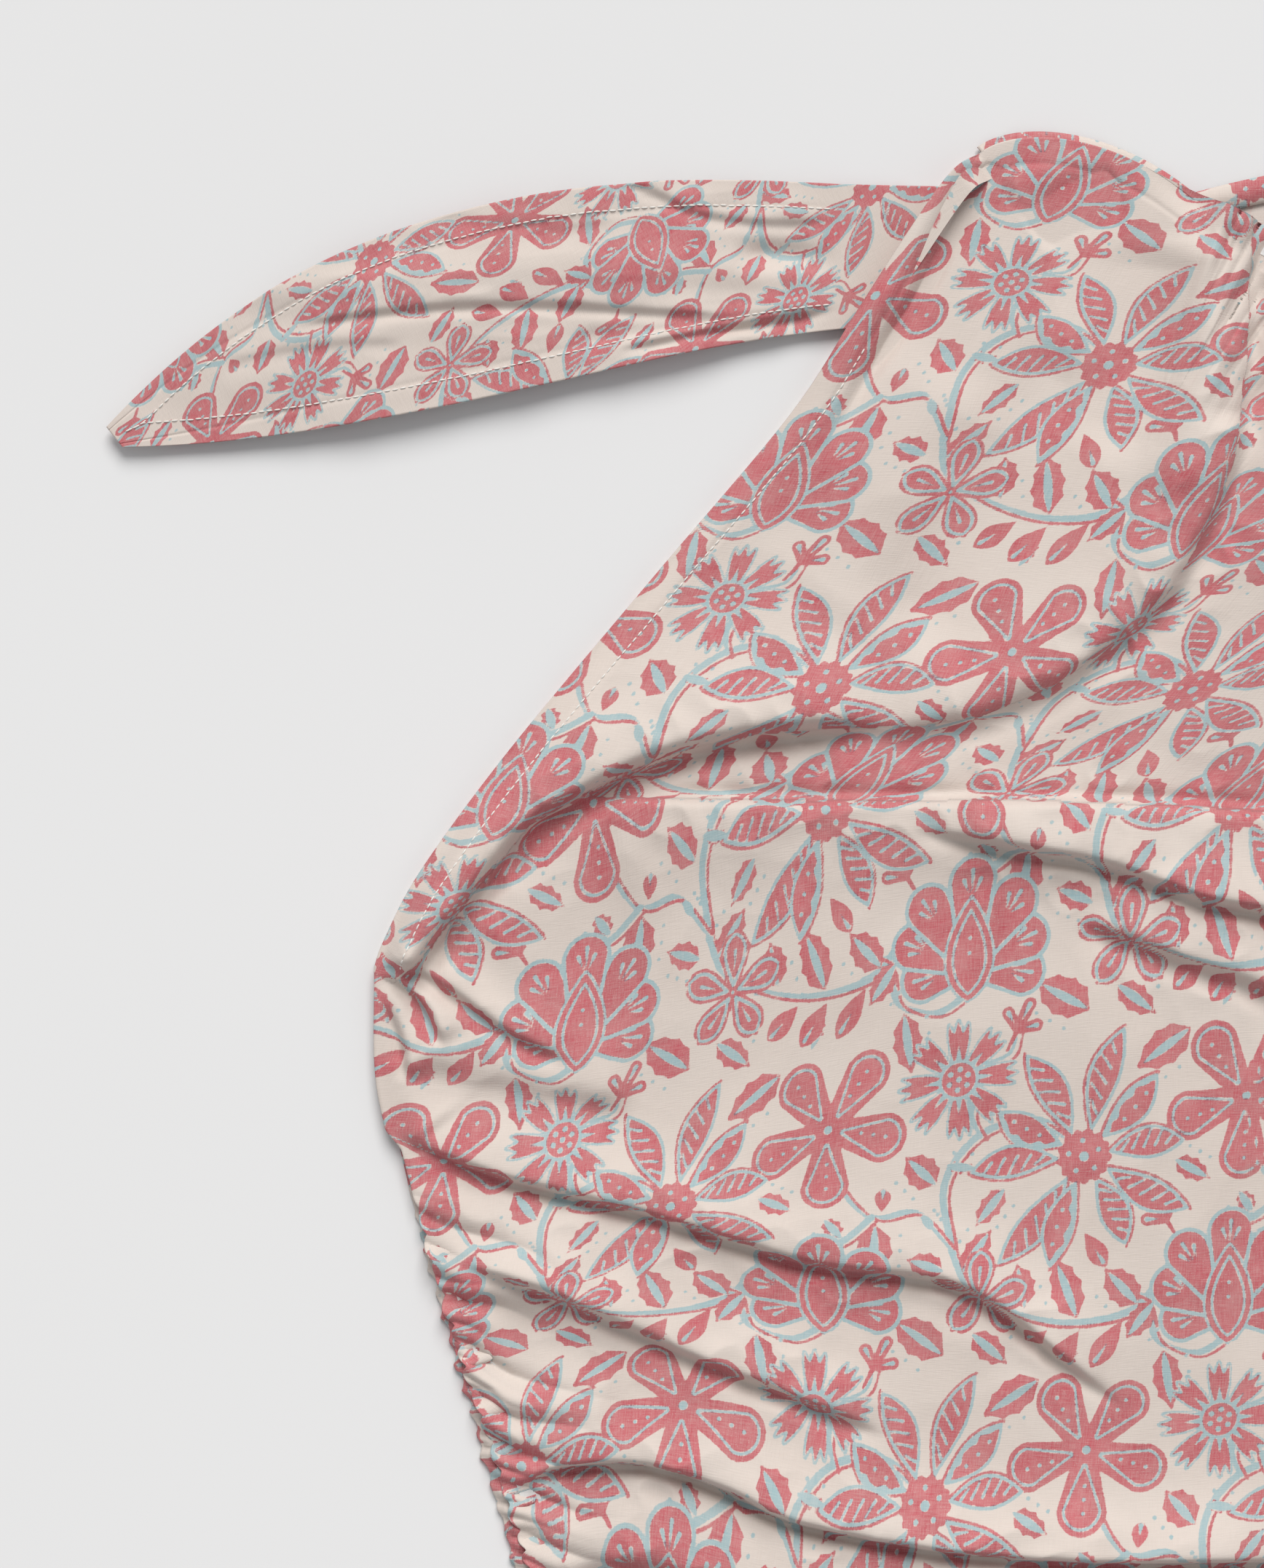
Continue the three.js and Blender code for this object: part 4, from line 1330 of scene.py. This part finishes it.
def printed_cotton():
    """Fine plain-weave cotton, block printed in two inks with ragged, slightly misplaced edges."""
    n = Nodes("printed_cotton_cloth")
    where = n.attribute("weave", "Vector")
    weave = thread_pattern(n, where, COTTON_PITCH)
    ragged = n.math("MULTIPLY_ADD", n.noise(where, 1500, 2.0), 0.46, -0.23)
    sway = n.math("MULTIPLY_ADD", n.noise(where, 380, 2.0), 0.5, -0.25)
    rough_edge = n.math("ADD", n.math("ADD", ragged, sway), -0.12)
    rough_edge = n.math("MULTIPLY_ADD", weave, 0.4, rough_edge)
    red_mask = n.span(n.math("ADD", n.attribute("ink_red"), rough_edge), 0.13, -0.13)
    blue_mask = n.span(n.math("ADD", n.attribute("ink_blue"), rough_edge), 0.05, -0.21)
    patchy = n.span(n.noise(where, 90, 3.0), 0.3, 0.7, 0.86, 1.0)
    specks = n.span(n.noise(where, 2300, 1.0), 0.62, 0.72, 1.0, 0.72)
    wear = n.math("MULTIPLY", patchy, specks)
    ground = n.mix(n.span(n.noise(where, 30, 2.0), 0.3, 0.7), CREAM, DULL_CREAM)
    color = n.mix(n.math("MULTIPLY", blue_mask, wear), ground, BLUE_INK)
    red_ink = n.mix(n.span(n.noise(where, 55, 3.0), 0.35, 0.68), RED_INK, DEEP_RED)
    color = n.mix(n.math("MULTIPLY", red_mask, wear), color, red_ink)
    both = n.math("MULTIPLY", red_mask, blue_mask)
    color = n.mix(both, color, INK_OVERLAP)
    print_side = n.mix(n.span(weave, 0.34, 0.66, 0.0, 0.20), color, BARE_THREAD)
    faint = n.mix(0.16, PALE_SIDE, color)
    shown = n.mix(n.attribute("wrong_side"), print_side, faint)
    n.link(shown, n.shader.inputs["Base Color"])
    n.link(n.span(weave, 0.2, 0.8, 0.74, 0.92), n.shader.inputs["Roughness"])
    n.shader.inputs["Sheen Weight"].default_value = 0.12
    n.shader.inputs["Sheen Roughness"].default_value = 0.45
    n.shader.inputs["Specular IOR Level"].default_value = 0.22
    slub = n.noise(where, 700, 2.0, (1, 0.15, 1))
    n.bump(n.math("ADD", weave, n.math("MULTIPLY", slub, 0.6)), 0.00022, 0.7)
    return n.material


def plain_cloth(name, color, pitch, relief, roughness=0.85):
    """An unprinted tape or thread: a woven surface in one slightly uneven colour."""
    n = Nodes(name)
    where = n.node("ShaderNodeTexCoord").outputs["Object"]
    weave = thread_pattern(n, where, pitch)
    darker = tuple(c * 0.86 for c in color[:3]) + (1,)
    shade = n.mix(n.span(weave, 0.3, 0.7), darker, color)
    blotch = n.span(n.noise(where, 60, 2.0), 0.3, 0.7, 0.94, 1.0)
    n.link(n.mix(1.0, shade, blotch, "MULTIPLY"), n.shader.inputs["Base Color"])
    n.link(n.span(weave, 0.2, 0.8, roughness - 0.08, roughness), n.shader.inputs["Roughness"])
    n.shader.inputs["Sheen Weight"].default_value = 0.15
    n.bump(weave, relief, 0.6)
    return n.material


def floor_paper():
    """The plain pale surface the gown lies on."""
    n = Nodes("floor_paper")
    where = n.node("ShaderNodeTexCoord").outputs["Object"]
    tone = n.span(n.noise(where, 3, 2.0), 0.3, 0.7)
    n.link(n.mix(tone, *FLOOR_TONES), n.shader.inputs["Base Color"])
    n.shader.inputs["Roughness"].default_value = 0.95
    n.shader.inputs["Specular IOR Level"].default_value = 0.0
    return n.material


# ---------------------------------------------------------------- the scene round it
CAMERA_EXTRA = 0.008        # metres the camera stands higher, for the gown's own height
FLOOR_REACH = 3.0
SUN_STRENGTH, SUN_SPREAD = 2.75, np.radians(38)
SUN_TURN = (np.radians(-45), np.radians(5), 0)
SUN_COLOR = (1.0, 0.99, 0.975)
SKY_STRENGTH, SKY_COLOR = 0.395, (0.98, 0.985, 1.0, 1)


def add_camera():
    """Straight above the part of the gown that the photograph shows."""
    data = bpy.data.cameras.new("camera")
    data.type = "PERSP"
    data.lens, data.sensor_width = LENS, SENSOR
    data.clip_start, data.clip_end = 0.05, 20
    cam = add_object("camera", data)
    x, y = metres([(*VIEW_CENTRE, 0.0)])[0, :2]
    cam.location = (x, y, VIEW_HEIGHT / 1000 * LENS / SENSOR + CAMERA_EXTRA)
    bpy.context.scene.camera = cam


def add_floor(material):
    """The surface the gown lies on."""
    mesh = bpy.data.meshes.new("floor")
    r = FLOOR_REACH
    mesh.from_pydata([(-r, -r, 0), (r, -r, 0), (r, r, 0), (-r, r, 0)], [], [(0, 1, 2, 3)])
    mesh.materials.append(material)
    add_object("floor", mesh)


def add_light():
    """A broad soft light from above the picture's top edge, and an even surround."""
    sun = bpy.data.lights.new("soft_key", "SUN")
    sun.energy, sun.angle, sun.color = SUN_STRENGTH, SUN_SPREAD, SUN_COLOR
    add_object("soft_key", sun).rotation_euler = SUN_TURN
    world = bpy.data.worlds.new("surround")
    world.use_nodes = True
    background = world.node_tree.nodes["Background"]
    background.inputs["Color"].default_value = SKY_COLOR
    background.inputs["Strength"].default_value = SKY_STRENGTH
    bpy.context.scene.world = world
    bpy.context.scene.view_settings.view_transform = "Standard"


# ---------------------------------------------------------------- the pieces
SIDES = (("left", 1), ("right", -1))

add_camera()
draw_block()
cotton = printed_cotton()
thread = plain_cloth("topstitch_thread", THREAD_WHITE, 0.0003, 0.00004)
elastic = plain_cloth("knitted_elastic", ELASTIC_GREY, 0.0009, 0.0002)
tape = plain_cloth("label_tape", TAPE_WHITE, 0.0004, 0.00006)

front = make_front(cotton)
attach(front, "gown")
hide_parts("front_panel")
backs = {hand: make_back(f"back_cloth_{hand}", sign, 0.0, cotton) for hand, sign in SIDES}
for hand, back in backs.items():
    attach(back, "gown")
    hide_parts(f"back_panel_{hand}")

for hand, sign in SIDES:
    tie = make_tie(f"tie_cloth_{hand}", sign, cotton)
    start, end = metres([(sign * (TIE_ROOT + off), TIE_MIDDLE, TIE_BEND_LEVEL)
                         for off in (TIE_BEND, -TIE_BEND)])
    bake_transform(tie)
    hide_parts(f"neck_tie_{hand}", f"neck_tie_sewn_end_{hand}")

# The elastics and the label keep their CAD shapes, in a woven look.
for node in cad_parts.values():
    look = elastic if "elastic" in node.name else tape if node.name == "care_label" else None
    if look:
        node.data.materials.clear()
        node.data.materials.append(look)

on_front_cloth, on_backs = [], {}
for hand, sign in SIDES:
    seam = make_stitches(f"armhole_stitches_{hand}", [on_front(inset(armhole(), -STITCH_INSET)[26:-1])],
                         thread, sign)
    facing = make_ribbon(f"front_armhole_hem_{hand}", armhole()[::-1], FACING_WIDTH,
                         under_front(FACING_DROP), cotton, sign, inner=0.5, thick=0.4)
    casing = make_ribbon(f"front_neck_hem_{hand}", front_neck(), CASING_WIDTH,
                         under_front(CASING_DROP), cotton, sign, inner=0.5, thick=0.4)
    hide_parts(f"front_armhole_facing_{hand}")
    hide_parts("front_neck_casing")
    on_front_cloth += [seam, facing, casing]
    binding = make_ribbon(f"back_neck_strip_{hand}", np.vstack([shoulder(), back_neck()[1:]]),
                          BINDING_WIDTH + BINDING_OVERHANG, flat_at(BINDING_LEVEL), cotton, sign,
                          inner=-BINDING_OVERHANG, swell=1.5, thick=1.1)
    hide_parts(f"back_neck_binding_{hand}")
    back_facing = make_ribbon(f"back_armhole_hem_{hand}", armhole()[::-1], FACING_WIDTH,
                              flat_at(BACK_HEM_LEVEL), cotton, sign, inner=0.4, thick=0.5)
    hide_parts(f"back_armhole_facing_{hand}")
    on_backs[hand] = [binding, back_facing]
    for piece in (seam, facing, casing, binding, back_facing):
        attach(piece, "gown")

for hand, sign in SIDES:
    seam = make_stitches(f"tie_stitches_{hand}", tie_seams(), thread, sign)
    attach(seam, f"tie_{hand}")

add_floor(floor_paper())
add_light()
